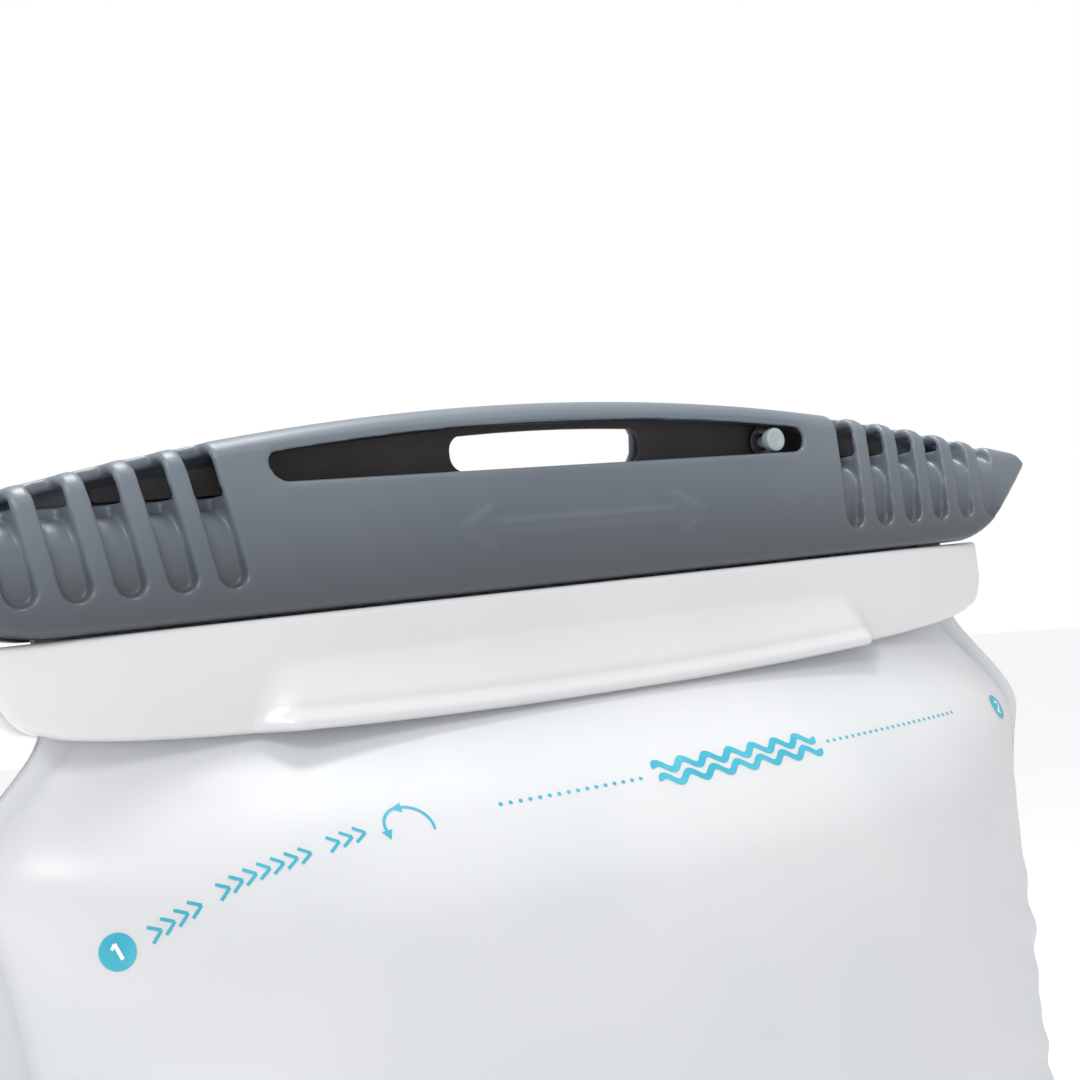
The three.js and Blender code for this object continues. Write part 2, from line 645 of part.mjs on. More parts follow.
/** The port's body: barrel, shoulder, square head, socket, seat, valve chamber and latch slot. */
function portHousing() {
  const barrel = turned([
    [0, valveBottom], [BARREL_RADIUS, valveBottom], [BARREL_RADIUS, shoulderBase],
    [SHOULDER_RADIUS, shoulderBase], [SHOULDER_RADIUS, shoulderBase + 1.6],
    [BARREL_RADIUS + 0.8, shoulderBase + 2.4], [BARREL_RADIUS + 0.8, headBase + 1], [0, headBase + 1],
  ], 40);
  const head = alongY(roundedRectangle(HEAD_WIDTH, HEAD_HEIGHT, 5), headBase, headTop, 6);
  const bores = turned([
    [0, valveBottom - 1], [CHAMBER_RADIUS, valveBottom - 1], [CHAMBER_RADIUS, seatBottom],
    [SEAT_RADIUS, seatBottom], [SEAT_RADIUS, seatTop], [SOCKET_RADIUS, seatTop],
    [SOCKET_RADIUS, headTop - 0.8], [SOCKET_RADIUS + 0.9, headTop + 0.1],
    [SOCKET_RADIUS + 0.9, headTop + 1], [0, headTop + 1],
  ], 32);
  const groove = ring(SOCKET_RADIUS - 1, SOCKET_RADIUS + 1.05, seatTop + 1.5, seatTop + 3.5, 32);
  const [slotFloor, slotTop] = [latchBottom - BUTTON_TRAVEL - 2 * GAP, HEAD_HEIGHT / 2 + 1];
  const latchSlot = new THREE.BoxGeometry(
    2 * (LATCH_HALF_WIDTH + GAP), LATCH_THICKNESS + 2 * GAP, slotTop - slotFloor,
  ).translate(0, latchY, (slotTop + slotFloor) / 2);
  const pocket = new THREE.BoxGeometry(19, 7.4, 6).translate(0, 13.4, buttonFloor + 3);
  const well = new THREE.CylinderGeometry(2.4, 2.4, 8, 20).rotateX(Math.PI / 2)
    .translate(0, springY, wellFloor + 4);
  const body = solid(barrel).add(solid(head));
  const tools = [bores, groove, latchSlot, pocket, well];
  return geometryOf(tools.reduce((left, tool) => left.subtract(solid(tool)), body));
}

/** The ring that seals the hose's plug in the socket. */
function socketRing() {
  return new THREE.TorusGeometry(SOCKET_RADIUS, 0.72, 8, 24)
    .rotateX(Math.PI / 2)
    .translate(0, seatTop + 2.5, 0);
}

/** The windowed disc that guides the valve's stem. */
function valveGuide() {
  const shape = new THREE.Shape().absarc(0, 0, CHAMBER_RADIUS - GAP, 0, 2 * Math.PI);
  shape.holes.push(new THREE.Path().absarc(0, 0, STEM_RADIUS + GAP, 0, 2 * Math.PI, true));
  for (let i = 0; i < 3; i++) {
    const [from, to] = [degToRad(120 * i + 14), degToRad(120 * i + 106)];
    const window = new THREE.Path().absarc(0, 0, CHAMBER_RADIUS - 1.6, from, to);
    shape.holes.push(window.absarc(0, 0, STEM_RADIUS + 1.5, to, from, true));
  }
  return alongY(shape, guideBase, guideTop, 6);
}

/** The valve's plunger: nose through the seat, head under the seal and a long stem. */
function valvePoppet() {
  return turned([
    [0, guideBase - 3.2], [STEM_RADIUS - 0.4, guideBase - 3.2], [STEM_RADIUS, guideBase - 2.6],
    [STEM_RADIUS, poppetTop - 1.3], [CHAMBER_RADIUS - 1.4, poppetTop - 1.3],
    [CHAMBER_RADIUS - 1.4, poppetTop],
    [2, poppetTop], [2, seatTop + 2], [1.5, seatTop + 2.6], [0, seatTop + 2.6],
  ], 24);
}

/** The soft ring on the plunger's head that closes the seat. */
const poppetSeal = () => ring(2 + GAP, CHAMBER_RADIUS - 1.6, poppetTop + GAP, seatBottom - GAP, 28);

/** The spring that shuts the valve. */
const valveSpring = () => coil(4.2, 0.42, guideTop + GAP, poppetTop - 1.3 - GAP, 4);

/** The plate that catches the plug's groove, with an upright oblong hole. */
function latchPlate() {
  const [bottom, top] = [latchBottom, buttonBase - GAP];
  const outline = roundedRectangle(2 * LATCH_HALF_WIDTH, top - bottom, 1.2, (top + bottom) / 2);
  outline.holes.push(new THREE.Path().absarc(0, LATCH_REST, SOCKET_RADIUS + 0.3, 0, 2 * Math.PI, true));
  return alongY(outline, latchY - LATCH_THICKNESS / 2, latchY + LATCH_THICKNESS / 2, 8);
}

/** The button over the latch plate, standing proud of the head. */
function releaseButton() {
  const cap = new THREE.Shape().moveTo(-9.1, 0).lineTo(9.1, 0).lineTo(9.1, 3);
  cap.quadraticCurveTo(0, 6.2, -9.1, 3).lineTo(-9.1, 0);
  return alongY(cap, 13.4 - 3.4, 13.4 + 3.4, 12).translate(0, 0, buttonBase);
}

/** The spring that lifts the button. */
function buttonSpring() {
  return coil(1.7, 0.25, 0, buttonBase - wellFloor - 2 * GAP, 5)
    .rotateX(Math.PI / 2)
    .translate(0, springY, wellFloor + GAP);
}

// ---- finishes ----

const finish = (color, roughness, metalness = 0, opacity = 1) =>
  new THREE.MeshStandardMaterial({ color, roughness, metalness, opacity, transparent: opacity < 1 });
const film = finish(0xeaf1f4, 0.35, 0, 0.8);
const railWhite = finish(0xf2f2f2, 0.3);
const stripWhite = finish(0xdfe4e6, 0.5);
const sliderGrey = finish(0x667079, 0.42);
const stripBlack = finish(0x1b191a, 0.7);
const studGrey = finish(0xa8b2b4, 0.35);
const washerDark = finish(0x2a2a2c, 0.3, 0.6);
const portClear = finish(0xdfe8ea, 0.3);
const portGrey = finish(0x667079, 0.42);
const valveWhite = finish(0xe4e4e0, 0.4);
const latchWhite = finish(0xd9dcdc, 0.4);
const sealGrey = finish(0x3a3d40, 0.6);
const springSteel = finish(0xb9bcc0, 0.25, 1);
const buttonBlue = finish(0x3fa3bd, 0.4);

// ---- assembly ----

/** One named node. */
function node(name, geometry, material) {
  const mesh = new THREE.Mesh(geometry, material);
  mesh.name = name;
  return mesh;
}

const rearStripY = foldY - (FOLD_REACH + LIP_PLY_PITCH / 2) - FILM / 2 - GAP - STRIP_PLY / 2;

const bag = new THREE.Group();
bag.add(
  node("front_panel", frontPanel(), film),
  node("rear_panel", panel(1), film),
  node("front_rail", frontRail(), railWhite),
  node("rear_rail", turnedRound(frontRail()), railWhite),
  node("front_lip_strip", lipStrip(foldY, foldZ - 0.2, FRONT_STRIP_HEIGHT), stripWhite),
  node("rear_lip_strip", lipStrip(rearStripY, foldZ, REAR_STRIP_HEIGHT), stripWhite),
);

const slider = new THREE.Group();
slider.add(
  node("slider_shell", sliderShell(), sliderGrey),
  node("hang_strip", hangStrip(), stripBlack),
  node("strip_stud", stripStud(), studGrey),
  node("stud_washer", studWasher(), washerDark),
);

const port = new THREE.Group();
port.add(
  node("port_flange", portFlange(), portClear),
  node("port_housing", portHousing(), portGrey),
  node("housing_nut", housingNut(), valveWhite),
  node("socket_ring", socketRing(), sealGrey),
  node("valve_guide", valveGuide(), valveWhite),
  node("valve_poppet", valvePoppet(), valveWhite),
  node("poppet_seal", poppetSeal(), sealGrey),
  node("valve_spring", valveSpring(), springSteel),
  node("latch_plate", latchPlate(), latchWhite),
  node("release_button", releaseButton(), buttonBlue),
  node("button_spring", buttonSpring(), springSteel),
);
port.rotation.z = Math.PI;
port.position.set(0, -(lieY + FILM / 2 + portDepth), portZ);

const bladder = new THREE.Group();
bladder.add(bag, slider, port);
bladder.position.z = -slotMiddle;

export default bladder;
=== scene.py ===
"""A hydration bladder: a film bag held shut by a slide-off closure, with a quick-connect port.

Lengths inside the classes are in millimetres above the lower edge of the slider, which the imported
model places. Bench turns them into metres in the row's own frame.
"""

import logging
import math
from dataclasses import dataclass, field
from enum import Enum
from typing import Any, Callable, Sequence

import bpy
import numpy as np
from mathutils import Matrix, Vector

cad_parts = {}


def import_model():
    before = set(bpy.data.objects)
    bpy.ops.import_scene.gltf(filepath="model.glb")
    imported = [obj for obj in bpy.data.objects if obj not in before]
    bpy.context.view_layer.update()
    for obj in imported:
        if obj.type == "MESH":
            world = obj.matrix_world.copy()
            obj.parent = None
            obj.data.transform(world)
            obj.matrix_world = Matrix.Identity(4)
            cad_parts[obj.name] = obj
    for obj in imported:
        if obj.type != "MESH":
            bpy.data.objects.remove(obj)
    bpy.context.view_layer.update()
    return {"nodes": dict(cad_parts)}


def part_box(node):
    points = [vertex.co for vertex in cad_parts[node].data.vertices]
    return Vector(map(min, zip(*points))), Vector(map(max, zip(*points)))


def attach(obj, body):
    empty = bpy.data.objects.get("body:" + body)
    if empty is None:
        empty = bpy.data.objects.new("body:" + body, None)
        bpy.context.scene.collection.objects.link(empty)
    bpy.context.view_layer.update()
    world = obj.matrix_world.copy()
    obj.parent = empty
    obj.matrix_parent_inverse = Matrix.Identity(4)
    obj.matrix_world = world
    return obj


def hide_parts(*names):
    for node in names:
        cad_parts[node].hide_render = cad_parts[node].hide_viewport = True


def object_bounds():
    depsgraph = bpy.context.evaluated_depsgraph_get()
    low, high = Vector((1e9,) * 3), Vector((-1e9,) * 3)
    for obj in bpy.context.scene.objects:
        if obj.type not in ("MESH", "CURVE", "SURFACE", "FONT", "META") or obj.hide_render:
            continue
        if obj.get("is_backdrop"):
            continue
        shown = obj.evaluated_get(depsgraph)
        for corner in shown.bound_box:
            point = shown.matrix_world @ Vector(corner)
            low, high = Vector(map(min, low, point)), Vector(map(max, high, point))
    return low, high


Array = np.ndarray
Field = Callable[[Array, Array, Array], Array]
Rows = Sequence[tuple[float, float]]
Colour = tuple[float, float, float]
Finish = bpy.types.Material
Nodes = dict[str, bpy.types.Object]
log = logging.getLogger("bladder")

MM = 0.001
FILM = 0.5
GAP = 0.3


class Body(Enum):
    """The moving bodies that pieces ride on."""

    BAG = "reservoir"
    SLIDER = "slider"
    VALVE = "valve"
    BUTTON = "button"


# ---- numbers ----


def ease(value: Array, start: float, end: float) -> Array:
    """A smooth step: 0 before start, 1 after end, and 3t^2 - 2t^3 between them."""
    t = np.clip((value - start) / (end - start), 0, 1)
    return t * t * (3 - 2 * t)


def mix(a: Any, b: Any, share: Any) -> Any:
    """The value that is a share of the way from a to b."""
    return a + (b - a) * share


def both(a: Array, b: Array, radius: float = 0.0) -> Array:
    """Inside both fields, with the edge between them rounded.

    Args:
        a: A field, negative inside.
        b: Another field on the same points.
        radius: The radius of the rounded edge.

    Returns:
        The larger of the two away from the edge, and a circle's distance near it.
    """
    corner = np.hypot(np.maximum(a + radius, 0), np.maximum(b + radius, 0))
    return np.minimum(np.maximum(a, b), -radius) + corner


def either(a: Array, b: Array, radius: float = 0.0) -> Array:
    """Inside one field or the other, with the valley between them rounded."""
    return -both(-a, -b, radius)


def cut(a: Array, tool: Array, radius: float = 0.0) -> Array:
    """The first field with the second taken out and the edge that leaves rounded."""
    return both(a, -tool, radius)


def span(value: Array, low: float, high: float) -> Array:
    """The field of a slab: negative between low and high."""
    return np.maximum(low - value, value - high)


def swell(distance: Array, reach: float) -> Array:
    """A rise from 0 to 1 over a reach, and a slow fall beyond it."""
    return distance / reach * np.exp(1 - distance / reach)


@dataclass(frozen=True)
class Bend:
    """A smooth curve through rows of (x, y) that never overshoots them."""

    rows: tuple[tuple[float, float], ...]

    def __call__(self, x: Array) -> Array:
        """Cubic pieces whose slopes are the harmonic means of their neighbours'."""
        xs, ys = np.array(self.rows, float).T
        rise = np.diff(ys) / np.diff(xs)
        before, after = np.append(0, rise), np.append(rise, 0)
        total = np.where(before * after > 0, before + after, 1)
        slope = np.where(before * after > 0, 2 * before * after / total, 0)
        i = np.clip(np.searchsorted(xs, x), 1, len(xs) - 1)
        h = xs[i] - xs[i - 1]
        t = np.clip((x - xs[i - 1]) / h, 0, 1)
        bend = h * t * (1 - t) * (slope[i - 1] * (1 - t) - slope[i] * t)
        return mix(ys[i - 1], ys[i], t * t * (3 - 2 * t)) + bend


# ---- meshes ----


@dataclass(frozen=True)
class Surface:
    """Points in millimetres and the faces between them."""

    points: Array
    faces: Array


def grid_faces(rows: int, columns: int, wrap_rows: bool = False, wrap_columns: bool = False) -> Array:
    """The quads of a grid of points that are numbered along its rows.

    Args:
        rows: How many rows of points there are.
        columns: How many points are in a row.
        wrap_rows: Whether the last row joins the first.
        wrap_columns: Whether a row's last point joins its first.

    Returns:
        An array of four point numbers for each quad.
    """
    r, c = np.meshgrid(
        np.arange(rows - (not wrap_rows)), np.arange(columns - (not wrap_columns)), indexing="ij"
    )
    below, right = (r + 1) % rows, (c + 1) % columns
    quads = [r * columns + c, r * columns + right, below * columns + right, below * columns + c]
    return np.stack([q.ravel() for q in quads], axis=1)


def normals(points: Array) -> Array:
    """The unit normals of a grid of points: square to the mean unit step along its two ways."""
    ways = []
    for axis in (0, 1):
        step = np.diff(points, axis=axis)
        step /= np.linalg.norm(step, axis=-1, keepdims=True)
        first, last = np.take(step, [0], axis), np.take(step, [-1], axis)
        ways.append(np.concatenate([first, step], axis) + np.concatenate([step, last], axis))
    normal = np.cross(*ways)
    return normal / np.linalg.norm(normal, axis=-1, keepdims=True)


def moulding(shape: Field, xs: Array, ys: Array, zs: Array) -> Surface:
    """The skin of a moulded piece: the surface where its field is zero.

    The field is worked out on a grid. Each box of the grid that the surface crosses gets one point,
    the mean of the places where its edges are crossed, and each crossed edge gets the quad between
    the four boxes round it.

    Args:
        shape: The piece's field, negative inside.
        xs: The grid's places along X; ys and zs are the same along Y and Z.

    Returns:
        The closed skin.
    """
    values = shape(*np.meshgrid(xs, ys, zs, indexing="ij", sparse=True))
    values = np.broadcast_to(values, (len(xs), len(ys), len(zs))) + 1e-7
    inside = values < 0
    boxes = tuple(n - 1 for n in inside.shape)
    corners = [(i, j, k) for i in (0, 1) for j in (0, 1) for k in (0, 1)]
    filled = sum(
        inside[i : i + boxes[0], j : j + boxes[1], k : k + boxes[2]].astype(np.int8)
        for i, j, k in corners
    )
    crossed = (filled > 0) & (filled < 8)
    number = np.full(boxes, -1)
    number[crossed] = np.arange(crossed.sum())
    box = np.argwhere(crossed)
    axes = (np.asarray(xs, float), np.asarray(ys, float), np.asarray(zs, float))
    total, hits = np.zeros((len(box), 3)), np.zeros((len(box), 1))
    for a in corners:
        for axis in range(3):
            if a[axis]:
                continue
            b = tuple(1 if n == axis else a[n] for n in range(3))
            p, q = box + a, box + b
            vp, vq = values[tuple(p.T)], values[tuple(q.T)]
            hit = ((vp < 0) != (vq < 0))[:, None]
            t = (vp / np.where(vp == vq, 1, vp - vq))[:, None]
            start = np.stack([axes[n][p[:, n]] for n in range(3)], axis=1)
            end = np.stack([axes[n][q[:, n]] for n in range(3)], axis=1)
            total += hit * mix(start, end, t)
            hits += hit
    quads = []
    for axis in range(3):
        one, two = (axis + 1) % 3, (axis + 2) % 3
        low = np.moveaxis(inside, (axis, one, two), (0, 1, 2))
        cells = np.moveaxis(number, (axis, one, two), (0, 1, 2))
        change = low[:-1, 1:-1, 1:-1] != low[1:, 1:-1, 1:-1]
        i, j, k = np.nonzero(change)
        around = np.stack(
            [cells[i, j, k], cells[i, j + 1, k], cells[i, j + 1, k + 1], cells[i, j, k + 1]], axis=1
        )
        outward = low[i, j + 1, k + 1]
        quads.append(np.where(outward[:, None], around, around[:, ::-1]))
    return Surface(total / hits, np.concatenate(quads))


def steps(marks: Rows, end: float) -> Array:
    """Places along an axis: from each mark's place on, the spacing is that mark's."""
    ends = [m[0] for m in marks[1:]] + [end]
    runs = [np.arange(start, stop, gap) for (start, gap), stop in zip(marks, ends)]
    return np.concatenate([*runs, [end]])


def revolved(profile: Rows, segments: int = 72) -> Surface:
    """A turned piece about Y: each (radius, y) of a closed profile swings through a full turn."""
    r, y = np.array(profile, float).T
    angle = np.linspace(0, 2 * math.pi, segments, endpoint=False)
    rings = [np.outer(np.cos(angle), r), np.broadcast_to(y, (segments, len(y))), np.outer(np.sin(angle), r)]
    points = np.stack(rings, axis=-1).reshape(-1, 3)
    return Surface(points, grid_faces(segments, len(r), True, True))


def rounded(profile: Rows, radius: float, arc: int = 4) -> Rows:
    """A closed profile with each corner turned into an arc.

    Args:
        profile: The corners as (radius, y), in order.
        radius: How far from each corner its arc starts, less where an edge is short.
        arc: How many points make an arc.

    Returns:
        The points of a quadratic curve at each corner, from side to side.
    """
    p = np.array(profile, float)
    before, after = np.roll(p, 1, axis=0) - p, np.roll(p, -1, axis=0) - p
    reach = [np.linalg.norm(d, axis=1, keepdims=True) for d in (before, after)]
    pull = np.minimum(radius, 0.45 * np.minimum(*reach))
    start, end = p + before / reach[0] * pull, p + after / reach[1] * pull
    t = np.linspace(0, 1, arc)[None, :, None]
    curve = start[:, None] * (1 - t) ** 2 + 2 * p[:, None] * t * (1 - t) + end[:, None] * t**2
    curve[:, :, 0] = np.where(p[:, None, 0] == 0, 0, curve[:, :, 0])
    return [tuple(q) for q in curve.reshape(-1, 2)]


def coil(radius: float, wire: float, start: float, end: float, turns: float) -> Surface:
    """A spring about Y: a circle of wire carried along a helix, with closed ground ends."""
    t = np.linspace(0, 1, int(turns * 28))
    angle = 2 * math.pi * turns * t
    rise = mix(start + wire, end - wire, ease(t, 0.04, 0.96) * 0.35 + t * 0.65)
    round_wire = np.linspace(0, 2 * math.pi, 10, endpoint=False)
    out, up = wire * np.cos(round_wire), wire * np.sin(round_wire)
    r = radius + out[None, :]
    points = np.stack([r * np.cos(angle)[:, None], rise[:, None] + up, r * np.sin(angle)[:, None]], axis=-1)
    points[0], points[-1] = mix(points[0].mean(0), points[0], 0.3), mix(points[-1].mean(0), points[-1], 0.3)
    return Surface(points.reshape(-1, 3), grid_faces(len(t), 10, wrap_columns=True))


# ---- shader graphs ----


class Value:
    """A number in a shader graph, with Python's operators as Math nodes."""

    def __init__(self, graph: "Graph", socket: bpy.types.NodeSocket) -> None:
        """Wraps an output socket of the graph."""
        self.graph, self.socket = graph, socket

    def math(self, operation: str, *operands: Any) -> "Value":
        """A Math node on the given operands, in order."""
        node = self.graph.node("ShaderNodeMath", {"operation": operation}, dict(enumerate(operands)))
        return Value(self.graph, node.outputs[0])

    def __add__(self, other: Any) -> "Value":
        """self + other."""
        return self.math("ADD", self, other)

    __radd__ = __add__

    def __mul__(self, other: Any) -> "Value":
        """self * other."""
        return self.math("MULTIPLY", self, other)

    __rmul__ = __mul__

    def __sub__(self, other: Any) -> "Value":
        """self - other."""
        return self.math("SUBTRACT", self, other)

    def __rsub__(self, other: Any) -> "Value":
        """other - self."""
        return self.math("SUBTRACT", other, self)

    def between(self, low: float, high: float) -> "Value":
        """Turns low to high into 0 to 1 with a smooth step."""
        node = self.graph.node(
            "ShaderNodeMapRange",
            {"interpolation_type": "SMOOTHSTEP"},
            {"Value": self, "From Min": low, "From Max": high},
        )
        return Value(self.graph, node.outputs[0])


class Graph:
    """The node tree of one material."""

    def __init__(self, name: str) -> None:
        """Makes an empty material of that name."""
        self.material = bpy.data.materials.new(name)
        self.material.use_nodes = True
        self.tree = self.material.node_tree
        self.tree.nodes.clear()

    def node(
        self, kind: str, settings: dict[str, Any] | None = None, inputs: dict[Any, Any] | None = None
    ) -> Any:
        """Makes a node: settings first, then the values or links of its sockets.

        Args:
            kind: The node's Blender type.
            settings: Its own settings, such as a Math node's operation.
            inputs: For each socket's name or number, a value, a Value or an output socket.

        Returns:
            The node.
        """
        made = self.tree.nodes.new(kind)
        for key, value in (settings or {}).items():
            setattr(made, key, value)
        for key, value in (inputs or {}).items():
            socket = value.socket if isinstance(value, Value) else value
            if isinstance(socket, bpy.types.NodeSocket):
                self.tree.links.new(socket, made.inputs[key])
            else:
                made.inputs[key].default_value = value
        return made

    def place(self) -> bpy.types.NodeSocket:
        """The point being shaded, in the piece's own metres."""
        return self.node("ShaderNodeTexCoord").outputs["Object"]

    def noise(self, size: float, detail: float = 3.0, stretch: Sequence[float] = (1, 1, 1)) -> Value:
        """A soft noise from 0 to 1 with features of a given size.

        Args:
            size: The size of a feature in millimetres.
            detail: How many finer layers it has.
            stretch: How much longer the features are along each axis.

        Returns:
            The noise's value.
        """
        scale = tuple(1 / s for s in stretch)
        mapped = self.node("ShaderNodeMapping", inputs={"Vector": self.place(), "Scale": scale})
        texture = self.node(
            "ShaderNodeTexNoise",
            inputs={"Vector": mapped.outputs[0], "Scale": 1 / (size * MM), "Detail": detail},
        )
        return Value(self, texture.outputs[0])

    def attribute(self, name: str) -> Value:
        """A number stored at the piece's points."""
        node = self.node("ShaderNodeAttribute", {"attribute_name": name})
        return Value(self, node.outputs["Fac"])

    def blend(self, share: Value, a: Any, b: Any) -> bpy.types.NodeSocket:
        """The colour that is a share of the way from a to b."""
        a, b = [(*c, 1) if isinstance(c, tuple) and len(c) == 3 else c for c in (a, b)]
        node = self.node("ShaderNodeMix", {"data_type": "RGBA"}, {0: share, 6: a, 7: b})
        return node.outputs[2]

    def bump(self, height: Value, distance: float, strength: float = 1.0) -> bpy.types.NodeSocket:
        """A bumped normal; distance is the bump's height in millimetres."""
        inputs = {"Height": height, "Distance": distance * MM, "Strength": strength}
        return self.node("ShaderNodeBump", inputs=inputs).outputs[0]

    def principled(self, inputs: dict[str, Any]) -> bpy.types.NodeSocket:
        """A Principled shader with the given values and links."""
        return self.node("ShaderNodeBsdfPrincipled", inputs=inputs).outputs[0]

    def finish(self, surface: bpy.types.NodeSocket) -> Finish:
        """Sends a shader to the output and gives the material."""
        self.node("ShaderNodeOutputMaterial", inputs={"Surface": surface})
        return self.material


def tone(red: int, green: int, blue: int) -> Colour:
    """A colour as the eye names it, from 0 to 255, turned into light."""
    c = np.array([red, green, blue]) / 255
    light = np.where(c <= 0.04045, c / 12.92, ((c + 0.055) / 1.055) ** 2.4)
    return tuple(float(v) for v in light)


@dataclass(frozen=True)
class Plastic:
    """A moulded plastic: two close tones in soft clouds, a fine spark grain, a varying gloss and, if foot is
    set, painted shade towards the bottom.
    """

    name: str
    colour: Colour
    cloud: Colour
    roughness: float = 0.4
    cloud_size: float = 30.0
    grain: float = 0.35
    grain_depth: float = 0.01
    coat: float = 0.0
    # How deep the painted shade goes where the mesh's foot value is 1.
    foot: float = 0.0

    def darker(self, share: float) -> Colour:
        """The colour with only a share of its light."""
        return tuple(share * c for c in self.colour)

    def material(self) -> Finish:
        """Builds the material's nodes; if foot is set, the mesh's own "foot" value deepens the colour:
        painted shade, darker towards the bottom.
        """
        g = Graph(self.name)
        cloud = g.noise(self.cloud_size, 2).between(0.3, 0.7)
        speck = g.noise(self.grain * 3, 2)
        colour = g.blend(speck * 0.12, g.blend(cloud, self.colour, self.cloud), self.darker(0.8))
        # Painted shade: the colour darkens where the mesh's foot value rises, as if the light came from
        # above.
        if self.foot:
            colour = g.blend(g.attribute("foot") * self.foot, colour, self.darker(0.35))
        rough = self.roughness + (g.noise(self.cloud_size / 4, 3) - 0.5) * 0.1 + (speck - 0.5) * 0.06
        shader = g.principled(
            {
                "Base Color": colour,
                "Roughness": rough,
                "Normal": g.bump(g.noise(self.grain, 1), self.grain_depth),
                "Coat Weight": self.coat,
                "Coat Roughness": 0.2,
            }
        )
        return g.finish(shader)


@dataclass(frozen=True)
class MilkyFilm:
    """Frosted film that glows with the light behind it: body colour, a little see-through, soft gloss."""

    name: str = "milky_film"
    colour: Colour = tone(240, 241, 242)
    deep: Colour = tone(232, 234, 237)
    glow: float = 0.45
    roughness: float = 0.34

    def material(self) -> Finish:
        """Builds the material's nodes."""
        g = Graph(self.name)
        cloud = g.noise(60, 2).between(0.3, 0.7)
        weld = g.attribute("weld")
        colour = g.blend(cloud * 0.7 + weld * 0.3, self.colour, self.deep)
        frost = g.noise(0.5, 2)
        normal = g.bump(g.noise(24, 2, (1, 1, 2.2)) * 8.0 + frost * 0.05, 0.09)
        body = g.principled(
            {
                "Base Color": colour,
                "Roughness": self.roughness + (g.noise(14, 3) - 0.5) * 0.12 + weld * 0.1,
                "Normal": normal,
                "Coat Weight": 0.25,
                "Coat Roughness": 0.3,
            }
        )
        through = g.node("ShaderNodeBsdfTranslucent", inputs={"Color": colour, "Normal": normal})
        mixed = g.node("ShaderNodeMixShader", inputs={0: self.glow, 1: body, 2: through.outputs[0]})
        return g.finish(mixed.outputs[0])


@dataclass(frozen=True)
class Ink:
    """Screen-printed ink: a flat tone that thins and thickens a little where the film was uneven."""

    name: str
    colour: Colour
    pale: Colour

    def material(self) -> Finish:
        """Builds the material's nodes."""
        g = Graph(self.name)
        patch = g.noise(9, 3).between(0.35, 0.75)
        pinhole = g.noise(0.5, 2).between(0.55, 0.8)
        shader = g.principled(
            {
                "Base Color": g.blend(patch * 0.55 + pinhole * 0.3, self.colour, self.pale),
                "Roughness": 0.38 + patch * 0.12,
                "Normal": g.bump(g.noise(0.6, 2), 0.01),
            }
        )
        return g.finish(shader)


@dataclass(frozen=True)
class Rubber:
    """Dull moulded silicone with a dusting of pale marks."""

    name: str = "seal_silicone"
    colour: Colour = tone(62, 66, 70)

    def material(self) -> Finish:
        """Builds the material's nodes."""
        g = Graph(self.name)
        dust = g.noise(1.6, 4).between(0.5, 0.8)
        shader = g.principled(
            {
                "Base Color": g.blend(dust * 0.5, self.colour, tone(118, 122, 126)),
                "Roughness": 0.55 + dust * 0.2,
                "Normal": g.bump(g.noise(0.3, 2), 0.012),
            }
        )
        return g.finish(shader)


@dataclass(frozen=True)
class Wire:
    """Drawn spring steel: bright, with fine lengthwise draw marks and a faint straw tint."""

    name: str = "spring_steel"
    colour: Colour = tone(200, 202, 204)

    def material(self) -> Finish:
        """Builds the material's nodes."""
        g = Graph(self.name)
        tint = g.noise(3, 2).between(0.4, 0.7)
        shader = g.principled(
            {
                "Base Color": g.blend(tint, self.colour, tone(190, 184, 170)),
                "Metallic": 1.0,
                "Roughness": 0.22 + g.noise(0.4, 3, (6, 1, 6)) * 0.16,
                "Normal": g.bump(g.noise(0.15, 2, (8, 1, 8)), 0.004),
            }
        )
        return g.finish(shader)


# ---- placing pieces ----


@dataclass
class Bench:
    """Where pieces are put together: it knows the frame and turns surfaces into objects."""

    drop: float = field(init=False)

    def __post_init__(self) -> None:
        """Reads where the slider's lower edge is in the row's frame."""
        self.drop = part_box("slider_shell")[0].z / MM

    def metres(self, points: Array) -> Array:
        """Points above the slider's lower edge, in millimetres, as metres in the row's frame."""
        return (points + np.array([0, 0, self.drop])) * MM

    def lay(
        self,
        name: str,
        surface: Surface,
        finish: Finish,
        body: Body,
        slot: str,
        replaces: Sequence[str] = (),
        marks: dict[str, Array] | None = None,
    ) -> bpy.types.Object:
        """Makes a piece from a surface and puts it in its place.

        Args:
            name: The piece's name.
            surface: Its points and faces.
            finish: Its material.
            body: The body it rides on.
            slot: Not used.
            replaces: The CAD nodes that it stands for.
            marks: Numbers to store at its points, by name.

        Returns:
            The object.
        """
        mesh = bpy.data.meshes.new(name)
        points = self.metres(surface.points).astype(np.float32)
        faces = surface.faces.astype(np.int32)
        mesh.vertices.add(len(points))
        mesh.vertices.foreach_set("co", points.ravel())
        mesh.loops.add(faces.size)
        mesh.loops.foreach_set("vertex_index", faces.ravel())
        mesh.polygons.add(len(faces))
        mesh.polygons.foreach_set("loop_start", np.arange(0, faces.size, faces.shape[1], dtype=np.int32))
        mesh.update(calc_edges=True)
        mesh.polygons.foreach_set("use_smooth", np.ones(len(faces), bool))
        mesh.validate()
        for key, values in (marks or {}).items():
            data = mesh.attributes.new(key, "FLOAT", "POINT").data
            data.foreach_set("value", values.astype(np.float32).ravel())
        mesh.materials.append(finish)
        piece = bpy.data.objects.new(name, mesh)
        bpy.context.scene.collection.objects.link(piece)
        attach(piece, body.value)
        if replaces:
            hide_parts(*replaces)
        log.info("%s: %d faces on %s", name, len(faces), body.value)
        return piece

    def dress(self, nodes: Nodes, name: str, finish: Finish) -> None:
        """Gives a CAD node that stays its own material."""
        nodes[name].data.materials.clear()
        nodes[name].data.materials.append(finish)
        log.info("%s: dressed", name)


# ---- the bag ----


